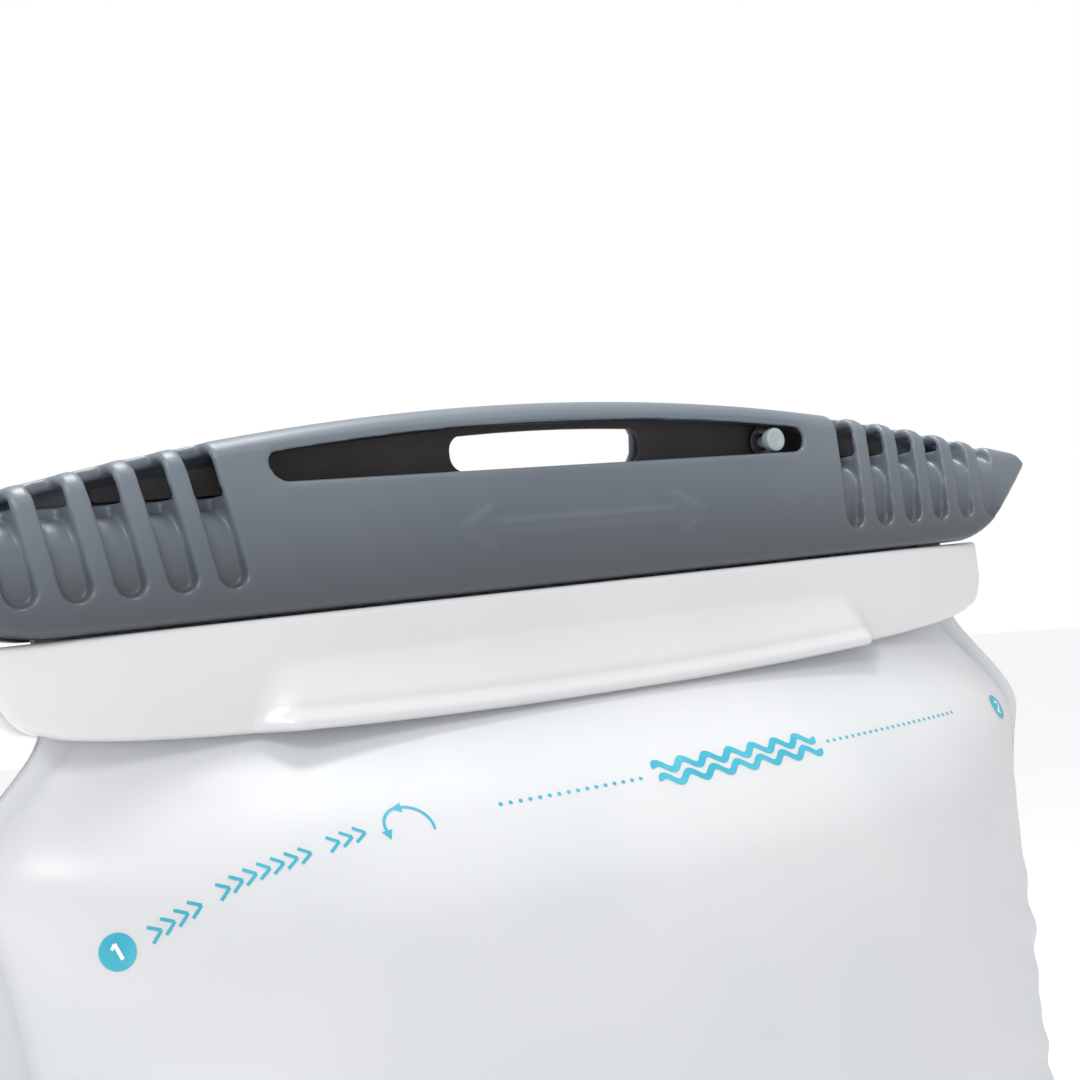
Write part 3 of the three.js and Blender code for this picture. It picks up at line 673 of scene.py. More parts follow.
@dataclass
class Bag:
    """The filled film bag: two panels that part below the mouth and meet at a welded border."""

    bench: Bench
    bottom: float = -352.0
    flat_width: float = 228.0
    mouth_width: float = 181.0
    depth: float = 84.0
    flange: float = 5.0
    corner: float = 45.0
    shoulder: float = 24.0
    dome_power: float = 0.62
    parting: float = -8.0
    port_rise: float = 74.0
    port_sink: float = 1.5
    patch: float = 30.0
    patch_blend: float = 14.0
    fold_y: float = 0.9
    fold_z: float = 11.6
    fold_base: float = 6.2
    fold_reach: float = 1.6
    ply_pitch: float = 0.8
    neck: float = 3.0

    def __post_init__(self) -> None:
        """Works out the profile and the flat round the port."""
        height = self.parting - self.bottom
        self.lie = GAP + FILM / 2
        self.share = Bend(
            ((0, 0), (5, 0.082), (7, 0.131), (10, 0.208), (16, 0.416), (23, 0.613), (37, 0.82), (62, 0.94),
             (102, 0.985), (0.53 * height, 1), (height - 103, 0.96), (height - 53, 0.82),
             (height - 23, 0.52), (height - 9, 0.18), (height - self.flange, 0), (height, 0))
        )  # fmt: skip
        self.port_z = self.bottom + self.port_rise
        self.port_depth = float(self.open_depth(0.0, self.port_z)) - self.port_sink

    def dome(self, share: Array) -> Array:
        """The domed section: 1 at the middle and 0 where the flat border starts."""
        return np.maximum(0, 1 - share * share) ** self.dome_power

    def filled_half(self, z: Array) -> Array:
        """Half the filled width: the half width whose domed arc is as long as the flat film."""
        z = np.asarray(z, float)
        shoulder = ease(self.parting - z, 3, 3 + self.shoulder)
        inset = np.maximum(0, self.corner - (z - self.bottom))
        rounding = self.corner - np.sqrt(np.maximum(0, self.corner**2 - inset**2))
        wanted = mix(self.mouth_width, self.flat_width, shoulder) / 2 - rounding - self.flange
        depth = self.depth / 2 * self.share(self.parting - z)
        places = np.sin(np.linspace(0, math.pi / 2, 25))
        low, high = np.zeros_like(wanted), wanted
        for _ in range(26):
            half = (low + high) / 2
            across = half[..., None] * np.diff(places)
            arc = np.hypot(across, depth[..., None] * np.diff(self.dome(places))).sum(-1)
            low, high = np.where(arc < wanted, half, low), np.where(arc < wanted, high, half)
        return (low + high) / 2 + self.flange

    def open_depth(self, x: Array, z: Array, half: Array | None = None) -> Array:
        """How far a panel stands off its lie, clear of the port."""
        half = self.filled_half(z) if half is None else half
        share = np.minimum(1, np.abs(x) / (half - self.flange))
        return self.depth / 2 * self.share(self.parting - np.asarray(z, float)) * self.dome(share)

    def front_depth(self, x: Array, z: Array, half: Array | None = None) -> Array:
        """How far the front panel stands off its lie, with the flat round the port."""
        away = ease(np.hypot(x, z - self.port_z), self.patch, self.patch + self.patch_blend)
        return mix(self.port_depth, self.open_depth(x, z, half), away)

    def pucker(self, x: Array, z: Array, half: Array, side: int) -> Array:
        """Small folds that run in from the welded border, where the flat cut is drawn round.

        Waves along the border are squared, so that they only stand outwards. They fade with the
        distance from the border and towards the mouth and the port.
        """
        inward = np.maximum(0, half - self.flange - np.abs(x))
        upward = np.maximum(0, z - self.bottom - self.flange)
        turn = z + 0.35 * inward * np.sign(x) * side
        wave = np.sin(turn / 2.3 + 1.7 * np.sin(turn / 19) + side) + 0.5 * np.sin(turn / 5.1 + np.sign(x))
        sides = 0.55 * wave**2 * (swell(inward, 5) + 0.35 * swell(inward, 14))
        foot = 0.9 * np.sin(x / 2.9 + 1.3 * np.sin(x / 17) + side) ** 2 * swell(upward, 6)
        here = ease(self.parting - z, 24, 70) * ease(np.hypot(x, z - self.port_z), 44, 60)
        return here * (sides + foot * ease(inward, 0, 8))

    def bulge(self, x: Array, z: Array) -> Array:
        """How far the middle of the front panel stands off its lie, with its small folds."""
        half = self.filled_half(z)
        return self.front_depth(x, z, half) + self.pucker(x, z, half, -1)

    def face(self, x: Array, z: Array, proud: float = 0.0) -> Array:
        """Points on the outer face of the front panel over (x, z), standing off by a distance.

        The distance is square to the film, so along Y it grows with the slope: by the root of
        1 + (dy/dx)^2 + (dy/dz)^2, taken over small steps.
        """
        step = 0.4
        across = (self.bulge(x + step, z) - self.bulge(x - step, z)) / (2 * step)
        up = (self.bulge(x, z + step) - self.bulge(x, z - step)) / (2 * step)
        y = self.lie + self.bulge(x, z) + (FILM / 2 + proud) * np.sqrt(1 + across**2 + up**2)
        return np.stack([x, -y, z], axis=-1)

    def lip(self, side: int) -> tuple[Array, Array]:
        """The film's way up through the neck and over the fold, as y and z."""
        reach = self.fold_reach + side * self.ply_pitch / 2
        t = np.linspace(0, 1, 7)
        rise_z = mix(self.neck - 0.8, self.fold_base, t)
        rise_y = mix(side * self.lie, self.fold_y + reach, ease(t, 0, 1))
        a = np.linspace(0, math.pi, 15)
        over_y, over_z = self.fold_y + reach * np.cos(a), self.fold_z + reach * np.sin(a)
        end = (self.fold_y - reach, self.fold_base - reach)
        return np.concatenate([rise_y, over_y, [end[0]]]), np.concatenate([rise_z, over_z, [end[1]]])

    def panel(self, side: int, rows: int = 236, columns: int = 126) -> tuple[Surface, Array]:
        """A film panel: a grid over its height and width, and its two faces FILM apart.

        The middle surface is y = side * (lie + depth(x, z)) on the body and the folded path on the
        lip. Each face is half the film's thickness to one side, along the surface's normals.

        Args:
            side: -1 for the front panel and 1 for the rear one.
            rows: Points up the body.
            columns: Points across, between the welded borders.

        Returns:
            The closed surface, and for each point 1 on the weld and 0 off it.
        """
        t = np.linspace(0, 1, rows)
        height = self.parting - self.bottom
        z = self.parting - height * (0.35 * t**1.8 + 0.65 * t)
        z = np.sort(np.append(z, [self.bottom + self.flange * s for s in (0.5, 0.9, 1.0)]))
        half = self.filled_half(z)
        crowding, seam = 1.35, 0.6
        share = np.sin(np.linspace(-1, 1, columns) * crowding) / math.sin(crowding)
        x = share[None, :] * (half - self.flange)[:, None]
        depth = self.front_depth if side < 0 else self.open_depth
        y = depth(x, z[:, None], half[:, None]) + self.pucker(x, z[:, None], half[:, None], side)
        y[:, 0] = y[:, -1] = 0
        edge = half[:, None]
        x = np.concatenate([-edge, -edge + seam, x, edge - seam, edge], axis=1)
        y = side * (self.lie + np.pad(y, ((0, 0), (2, 2))))
        lip_y, lip_z = self.lip(side)
        x = np.concatenate([x, np.broadcast_to(x[-1], (len(lip_y), x.shape[1]))])
        y = np.concatenate([y, np.broadcast_to(lip_y[:, None], (len(lip_y), x.shape[1]))])
        z = np.concatenate([z, lip_z])[:, None] + 0 * x
        middle = np.stack([x, y, z], axis=-1)
        off = normals(middle) * (FILM / 2)
        weld = np.zeros(x.shape)
        weld[:, :3] = weld[:, -3:] = 1
        weld[z < self.bottom + self.flange + 0.01] = 1
        return self.closed(middle - side * off, middle + side * off, side), np.tile(weld.ravel(), 2)

    def closed(self, inner: Array, outer: Array, side: int) -> Surface:
        """Two faces of a sheet, each a grid of points, joined round their edge."""
        rows, columns, _ = inner.shape
        count = rows * columns
        face = grid_faces(rows, columns)
        numbers = np.arange(count).reshape(rows, columns)
        rim = np.concatenate([numbers[0, :], numbers[1:, -1], numbers[-1, -2::-1], numbers[-2:0:-1, 0]])
        ahead = np.roll(rim, -1)
        wall = np.stack([ahead, rim, rim + count, ahead + count], axis=1)
        faces = np.concatenate([face[:, ::-1], face + count, wall])
        if side > 0:
            faces = faces[:, ::-1]
        return Surface(np.concatenate([inner, outer]).reshape(-1, 3), faces)

    def build(self, nodes: Nodes, film: Finish, strip: Finish) -> None:
        """Makes both panels and dresses the lip strips."""
        for side, word in ((-1, "front"), (1, "rear")):
            surface, weld = self.panel(side)
            piece = self.bench.lay(
                f"{word}_film", surface, film, Body.BAG, "film", [f"{word}_panel"], {"weld": weld}
            )
            self.bench.dress(nodes, f"{word}_lip_strip", strip)


@dataclass
class Rail:
    """A white rail below the slider, with its long wedge; its back follows the film."""

    bag: Bag
    length: float = 196.0
    height: float = 18.4
    end_height: float = 13.0
    depth: float = 7.6
    end_depth: float = 2.6
    top: float = -0.4
    film_gap: float = 0.6
    wall: float = 1.2
    wedge_length: float = 120.0
    wedge_proud: float = 4.3
    wedge_top: float = -6.8
    lip: float = 1.2

    def bottom(self, x: Array) -> Array:
        """Height of the lower edge: lowest in the middle, rising to the ends."""
        share = np.maximum(0, 1 - (x / (self.bag.mouth_width / 2 + 0.5)) ** 2)
        return -mix(self.end_height, self.height, share**0.6)

    def wedge(self, x: Array, z: Array) -> Array:
        """How far the wedge stands out: a straight slope down to its lip, with a soft hollow over it."""
        lip = self.bottom(x) + self.lip
        slope = np.clip((self.wedge_top - z) / (self.wedge_top - lip), 0, 1)
        edge = self.wedge_length / 2 - 3.5 * (1 - slope)
        ends = 1 - ease(np.abs(x) - edge, -3.4, 3.0)
        hollow = 0.4 * np.exp(-(((z - lip - 1.9) / 0.9) ** 2)) * slope
        return (self.wedge_proud * slope - hollow) * ends

    def shape(self, x: Array, y: Array, z: Array) -> Array:
        """The front rail's field: between its back and its front, above its lower edge."""
        reach = np.abs(x) / (self.length / 2)
        depth = mix(self.end_depth, self.depth, np.sqrt(np.maximum(0, 1 - reach**7)))
        tip = np.maximum(0, (reach - 0.93) / 0.075)
        low = self.bottom(x) * np.sqrt(np.maximum(0.1, 1 - tip**2))
        bag = self.bag
        back = bag.lie + FILM / 2 + self.film_gap + bag.front_depth(x, z, bag.filled_half(z))
        front = np.maximum(depth + self.wedge(x, z), back + self.wall)
        body = both(-y - front, 0.85 * (back + y), 0.35)
        body = both(body, z - self.top, 0.9)
        body = both(body, low - z, 0.8)
        return both(body, np.abs(x) - self.length / 2, 0.8)

    def build(self, finish: Finish) -> None:
        """Makes the front rail and the same rail turned half round for the back."""
        half = self.length / 2
        xs = np.arange(-half - 1, half + 1.5, 0.62)
        ys = np.arange(-self.depth - self.wedge_proud - 1.5, 0.5, 0.45)
        zs = np.arange(-self.height - 1.5, 1.2, 0.42)
        front = moulding(self.shape, xs, ys, zs)
        rear = Surface(front.points * np.array([-1, -1, 1]), front.faces)
        for word, surface in (("front", front), ("rear", rear)):
            self.bag.bench.lay(f"{word}_rail_moulding", surface, finish, Body.BAG, "rail", [f"{word}_rail"])


@dataclass
class Slider:
    """The slide-off closure: two skins, an arched crest, slots, and a channel for the folded lips."""

    bench: Bench
    length: float = 230.0
    height: float = 30.7
    base: float = 15.0
    lean: float = 0.1346
    crest_drop: float = 14.5
    nose: float = 17.5
    nose_underside: float = 14.0
    skin: float = 1.6
    channel: float = 3.4
    channel_wall: float = 1.4
    channel_top: float = 11.5
    channel_end: float = 92.1
    neck: float = 2.0
    neck_height: float = 3.0
    slot_bottom: float = 19.6
    slot_top: float = 27.2
    hollow_floor: float = 18.3
    front_slot: float = 107.8
    hang_slot: float = 39.4
    grips: int = 6
    grip_first: float = 62.3
    grip_pitch: float = 7.7
    grip_width: float = 4.3
    grip_bottom: float = 4.5
    grip_lean: float = 8.0
    bow: float = 0.5
    rim: float = 0.8
    arrow_x: float = 1.5
    arrow_z: float = 10.2
    arrow_half: float = 18.5

    def arch(self, x: Array, top: float) -> Array:
        """A height that falls from the middle to the ends as the crest does."""
        return top - self.crest_drop * (x / (self.length / 2)) ** 2

    def thickness(self, x: Array, z: Array) -> Array:
        """Half the slider's thickness: thinner upwards and towards the ends, a little bowed between."""
        taper = ease(np.abs(x), 0.35 * self.length, 0.55 * self.length)
        up = np.clip(z / self.arch(x, self.height), 0, 1)
        return (self.base / 2 - self.lean * z) * mix(1, 0.62, taper) + self.bow * 4 * up * (1 - up)

    def arrow(self, x: Array, z: Array) -> Array:
        """The field of a plain double-headed arrow that tells which way the slider goes."""
        x, z = x - self.arrow_x, z - self.arrow_z
        along = np.abs(x) - self.arrow_half
        shaft = both(along - 1.5, np.abs(z) - 0.9, 0.3)
        head = np.maximum(-along, (along + 1.9 * np.abs(z) - 7) / 2.15)
        return np.minimum(shaft, head)

    def slot(self, x: Array, z: Array, half: float, low: float, high: float) -> Array:
        """The field of an arched slot with small upper and larger lower corners."""
        upper = both(np.abs(x) - half, z - self.arch(x, self.slot_top), high)
        return both(upper, self.slot_bottom - z, low)

    def tube(self, y: Array, z: Array, half: float) -> Array:
        """The field of a channel with a round top, open downwards."""
        return np.where(z < self.channel_top, np.abs(y) - half, np.hypot(y, z - self.channel_top) - half)

    def grip(self, x: Array, z: Array) -> Array:
        """The field of all the grip slots: upright rays with round feet, leaning outwards."""
        lean = math.radians(self.grip_lean)
        half = self.grip_width / 2
        across = np.abs(x)
        best = np.full(np.broadcast(x, z).shape, 99.0)
        for i in range(self.grips):
            dx, dz = across - (self.grip_first + i * self.grip_pitch), z - self.grip_bottom
            a = dx * math.cos(lean) - dz * math.sin(lean)
            b = dx * math.sin(lean) + dz * math.cos(lean) - half
            best = np.minimum(best, np.hypot(a, np.minimum(b, 0)) - half)
        return best

    def shape(self, x: Array, y: Array, z: Array) -> Array:
        """The slider's field: the outside, less the hollow, the slots, the channel and its neck."""
        crest = self.arch(x, self.height)
        half = self.length / 2
        thick = self.thickness(x, z)
        raised = 0.55 * (1 - ease(self.arrow(x, z), -0.3, 0.3)) * (y < 0)
        rise = self.nose_underside * (np.abs(x) - half + self.nose) / self.nose
        under = both(-z + 0 * x, (rise - z) / 1.28, 5.0)
        fit = np.clip((crest - np.maximum(0, rise)) / 14, 0.2, 1)
        profile = both((z - crest) / 1.02, np.abs(x) - half, 3.0)
        body = both(np.abs(y) - thick - raised, profile, 3.3 * fit)
        body = both(body, under, 1.1)
        hollow = both(np.abs(y) - (thick - self.skin), z - (crest - self.skin - 0.4), 0.9)
        hollow = both(hollow, self.hollow_floor - z, 0.5)
        body = cut(body, hollow, 0.3)
        front = both(self.slot(x, z, self.front_slot / 2, 2.8, 1.4), y, 0)
        back = both(self.slot(x, z, self.hang_slot / 2, 2.8, 2.2), -1 - y, 0)
        body = cut(cut(body, front, self.rim), back, self.rim)
        front_grips = both(self.grip(x, z), y, 0.6)
        grips = cut(front_grips, self.tube(y, z, self.channel + self.channel_wall), 0.5)
        body = cut(body, grips, self.rim)
        chamber = both(self.tube(y, z, self.channel), self.neck_height - z, 0.4)
        neck = both(np.abs(y) - self.neck, z - self.neck_height - 1, 0)
        inside = either(chamber, neck, 0.2)
        return cut(body, both(inside, x - self.channel_end, 0.5), 0.35)

    def build(self, nodes: Nodes, finishes: "Finishes") -> None:
        """Makes the moulding, darkened towards its foot by painted shade, the stud and its washer, and
        dresses the dark strip, whose black is partly painted shade for the hollow.
        """
        fine, wide = 0.6, 0.8
        half = self.length / 2
        xs = steps([(-half - 1.2, fine), (-46, wide), (46, fine)], half + 1.2)
        ys = np.arange(-self.base / 2 - 1.5, self.base / 2 + 1.6, 0.58)
        zs = np.arange(-1.2, self.height + 1.4, 0.58)
        shell = moulding(self.shape, xs, ys, zs)
        # Painted shade: foot is 1 at the lower edge and 0 at the crest, so the grey darkens downwards as if
        # lit from above.
        rise = shell.points[:, 2] / self.arch(shell.points[:, 0], self.height)
        foot = {"foot": 1 - ease(rise, -0.15, 0.95)}
        self.bench.lay(
            "slider_moulding", shell, finishes.grey, Body.SLIDER, "slider", ["slider_shell"], foot
        )
        # The strip is a black strap, and its black also stands in for the shade inside the slider's hollow:
        # partly painted shade.
        self.bench.dress(nodes, "hang_strip", finishes.strap_and_shade_black)
        self.stud(finishes)

    def stud(self, finishes: "Finishes") -> None:
        """Makes the round stud and the washer under its head, where the CAD has them."""
        dip, shank, bore = 0.25, 1.2, 1.5
        for node, name, slot, finish, corner in (
            ("strip_stud", "stud_turned", "stud", finishes.stud, 0.3),
            ("stud_washer", "washer_turned", "washer", finishes.washer, 0.15),
        ):
            low, high = [np.array(c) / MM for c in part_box(node)]
            centre = (low + high) / 2 - np.array([0, 0, self.bench.drop])
            wide, back, _ = (high - low) / 2
            face = -back
            if slot == "stud":
                profile = [(0, face + dip), (wide * 0.55, face + dip), (wide * 0.62, face), (wide, face),
                           (wide, face + 1.7), (shank, face + 1.9), (shank, back), (0, back)]  # fmt: skip
            else:
                profile = [(bore, face), (wide, face), (wide, back), (bore, back)]
            ring = revolved(rounded(profile, corner), 56)
            surface = Surface(ring.points + centre, ring.faces)
            self.bench.lay(name, surface, finish, Body.SLIDER, slot, [node])


# ---- the port ----


@dataclass
class Port:
    """The quick-connect port, drawn about Y from the film's outer face, with +Y out of the bag."""

    bag: Bag
    flange_radius: float = 25.0
    barrel: float = 11.2
    socket: float = 6.5
    chamber: float = 8.0
    seat: float = 4.5
    stem: float = 1.4
    head_width: float = 26.0
    head_height: float = 30.0
    shoulder_base: float = 3.3
    head_base: float = 8.5
    head_top: float = 18.0
    seat_low: float = 6.0
    seat_top: float = 7.5
    latch_y: float = 15.5
    spring_y: float = 11.8
    guide_top: float = -5.3
    plunger_disc: float = 1.3
    nose: float = 2.0
    cord: float = 0.72
    button_y: float = 13.4
    button_half: float = 9.1
    button_deep: float = 3.4

    def __post_init__(self) -> None:
        """Works out the places that several pieces share."""
        self.ring_y = self.seat_top + 2.5
        self.plunger_top = self.seat_low - 1.8
        self.plunger_radius = self.chamber - 1.4
        self.button_low = self.head_height / 2 - 1.3
        self.well_floor = self.socket + 2.6

    def outward(self, surface: Surface) -> Surface:
        """Turns a piece drawn about the port's axis to face the front and puts it on the film."""
        base = self.bag.lie + FILM / 2 + self.bag.port_depth
        points = surface.points * np.array([-1, -1, 1]) + np.array([0, -base, self.bag.port_z])
        return Surface(points, surface.faces)

    def body_shape(self, x: Array, y: Array, z: Array) -> Array:
        """The housing's field: barrel, shoulder and square head, less its bores, slot and pocket."""
        r = np.hypot(x, z)
        barrel = both(r - self.barrel, span(y, -7, self.head_base + 1), 0.5)
        shoulder = both(r - 15.2, span(y, self.shoulder_base, 5.2), 0.7)
        middle = both(r - 12, span(y, 4.6, self.head_base + 1), 0.3)
        square = both(np.abs(x) - self.head_width / 2, np.abs(z) - self.head_height / 2, 5)
        head = both(square, span(y, self.head_base, self.head_top), 1.3)
        body = either(either(either(barrel, shoulder, 0.8), middle, 0.8), head, 0.9)
        above = np.where(y < self.seat_top, r - self.seat, r - self.socket)
        bores = np.where(y < self.seat_low, r - self.chamber, above)
        mouth = r - self.socket - np.clip(y - self.head_top + 1.2, 0, 2)
        body = cut(body, np.minimum(bores, mouth), 0.25)
        deep = span(r, self.socket - 1, self.socket + 1.05)
        groove = both(deep, span(y, self.ring_y - 1, self.ring_y + 1), 0.3)
        latch = both(np.abs(x) - 9.3, np.abs(y - self.latch_y) - 1.1, 0.2)
        latch = both(latch, -13.0 - z, 0.2)
        slack = np.abs(y - self.button_y) - self.button_deep - GAP
        pocket = both(both(np.abs(x) - self.button_half - 0.4, slack, 0.4), 11.2 - z, 0.4)
        well = both(np.hypot(x, y - self.spring_y) - 2.4, self.well_floor - z, 0.2)
        return cut(cut(cut(cut(body, groove, 0.2), latch, 0.25), pocket, 0.35), well, 0.2)

    def button_shape(self, x: Array, y: Array, z: Array) -> Array:
        """The release button's field: an arched cap with three grip ridges across its top."""
        top = self.button_low + 3 + 1.6 * (1 - (x / self.button_half) ** 2)
        ridges = 0.3 * np.cos(np.clip(x, -3.3, 3.3) * math.pi / 1.1) * (np.abs(x) < 3.85)
        cap = both(np.abs(x) - self.button_half, z - top + 0.3 - ridges, 0.9)
        cap = both(cap, self.button_low - z, 0.35)
        return both(cap, np.abs(y - self.button_y) - self.button_deep, 0.7)

    def nut_shape(self, x: Array, y: Array, z: Array) -> Array:
        """The nut's field: a hexagon with its corners turned off, bored for the barrel."""
        flats = [np.abs(x * math.cos(a) + z * math.sin(a)) for a in np.radians([30, 90, 150])]
        hexagon = np.maximum(np.maximum(flats[0], flats[1]), flats[2]) - 16.5 * math.cos(math.radians(30))
        r = np.hypot(x, z)
        slab = span(y, -4.0, -0.8)
        corner = (r - 15.9 + 1.2 * np.maximum(0, np.abs(y + 2.4) - 0.9)) / 1.3
        return cut(both(both(hexagon, slab, 0.4), corner, 0.4), r - self.barrel - GAP, 0.3)

    def flange(self) -> Surface:
        """The welded disc: a stepped profile with three fine weld ridges, carried round Y."""
        bore, base = self.barrel + 0.4, 0.35
        rim, top = self.flange_radius, self.shoulder_base - GAP
        ridge = ((0.5, 0), (0, 0.22), (-0.5, 0))
        ridges = [(r + dr, base + 1.05 + dy) for r in (22.5, 20.8, 19.1) for dr, dy in ridge]
        profile = [(bore, base), (rim, base), (rim, base + 0.6), (rim - 1, base + 1), *ridges]
        profile += [(bore + 6, base + 1.3), (bore + 3.6, base + 2.0), (bore + 3.0, top), (bore, top)]
        return revolved(rounded(profile, 0.3), 120)

    def plunger(self) -> Surface:
        """The valve's plunger: its stem in the guide, its disc under the seat and its nose above."""
        foot, under, top = self.guide_top - 4.7, self.plunger_top - self.plunger_disc, self.plunger_top
        wide, tip = self.plunger_radius, self.seat_top + 2.6
        profile = [(0, foot), (self.stem, foot), (self.stem, under), (wide, under), (wide, top),
                   (self.nose, top), (self.nose, tip), (0, tip)]  # fmt: skip
        return revolved(rounded(profile, 0.3), 64)

    def plunger_seal(self) -> Surface:
        """The flat ring on the plunger's disc that closes the seat."""
        inner, outer = self.nose + GAP, self.plunger_radius - 0.2
        low, high = self.plunger_top + GAP, self.seat_low - GAP
        return revolved(rounded([(inner, low), (outer, low), (outer, high), (inner, high)], 0.4), 64)

    def plug_seal(self) -> Surface:
        """The round ring in the socket's groove."""
        turn = np.linspace(0, 2 * math.pi, 16, endpoint=False)
        radius, y = self.socket + self.cord * np.cos(turn), self.ring_y + self.cord * np.sin(turn)
        return revolved(list(zip(radius, y)), 72)

    def valve_coil(self) -> Surface:
        """The valve's spring, from the guide to the plunger's disc."""
        return coil(4.2, 0.42, self.guide_top + GAP, self.plunger_top - self.plunger_disc - GAP, 4)

    def button_coil(self) -> Surface:
        """The button's spring, stood upright in its well."""
        spring = coil(1.7, 0.25, 0, self.button_low - self.well_floor - 2 * GAP, 5)
        upright = spring.points[:, [0, 2, 1]] * np.array([1, -1, 1])
        return Surface(upright + np.array([0, self.spring_y, self.well_floor + GAP]), spring.faces)

    def build(self, nodes: Nodes, finishes: "Finishes") -> None:
        """Makes every piece of the port and dresses those that keep their CAD shape."""
        fine, finer, coarse = 0.42, 0.3, 0.45
        box = [np.arange(-16.2, 16.4, fine), np.arange(-8, 19.2, fine), np.arange(-16.4, 16.6, fine)]
        cap = [np.arange(-10, 10.2, finer), np.arange(9, 17.8, finer), np.arange(12.8, 19.2, finer)]
        nut = [np.arange(-17.4, 17.6, coarse), np.arange(-5, 0.4, 0.4), np.arange(-17.4, 17.6, coarse)]
        housing, clamp = moulding(self.body_shape, *box), moulding(self.nut_shape, *nut)
        press = moulding(self.button_shape, *cap)
        bag, button, valve = Body.BAG, Body.BUTTON, Body.VALVE
        rows = (
            ("port_body", housing, finishes.port, bag, "port_housing", "port_housing"),
            ("port_disc", self.flange(), finishes.clear, bag, "port_flange", "port_flange"),
            ("clamp_nut", clamp, finishes.white, bag, "port_housing", "housing_nut"),
            ("button_cap", press, finishes.blue, button, "button", "release_button"),
            ("plunger", self.plunger(), finishes.white, valve, "valve_plastic", "valve_poppet"),
            ("plunger_seal", self.plunger_seal(), finishes.rubber, valve, "seal", "poppet_seal"),
            ("plug_seal", self.plug_seal(), finishes.rubber, bag, "seal", "socket_ring"),
            ("valve_coil", self.valve_coil(), finishes.steel, bag, "spring", "valve_spring"),
            ("button_coil", self.button_coil(), finishes.steel, bag, "spring", "button_spring"),
        )
        for name, surface, finish, body, slot, node in rows:
            self.bag.bench.lay(name, self.outward(surface), finish, body, slot, [node])
        self.bag.bench.dress(nodes, "valve_guide", finishes.white)
        self.bag.bench.dress(nodes, "latch_plate", finishes.latch)


# ---- printed marks ----


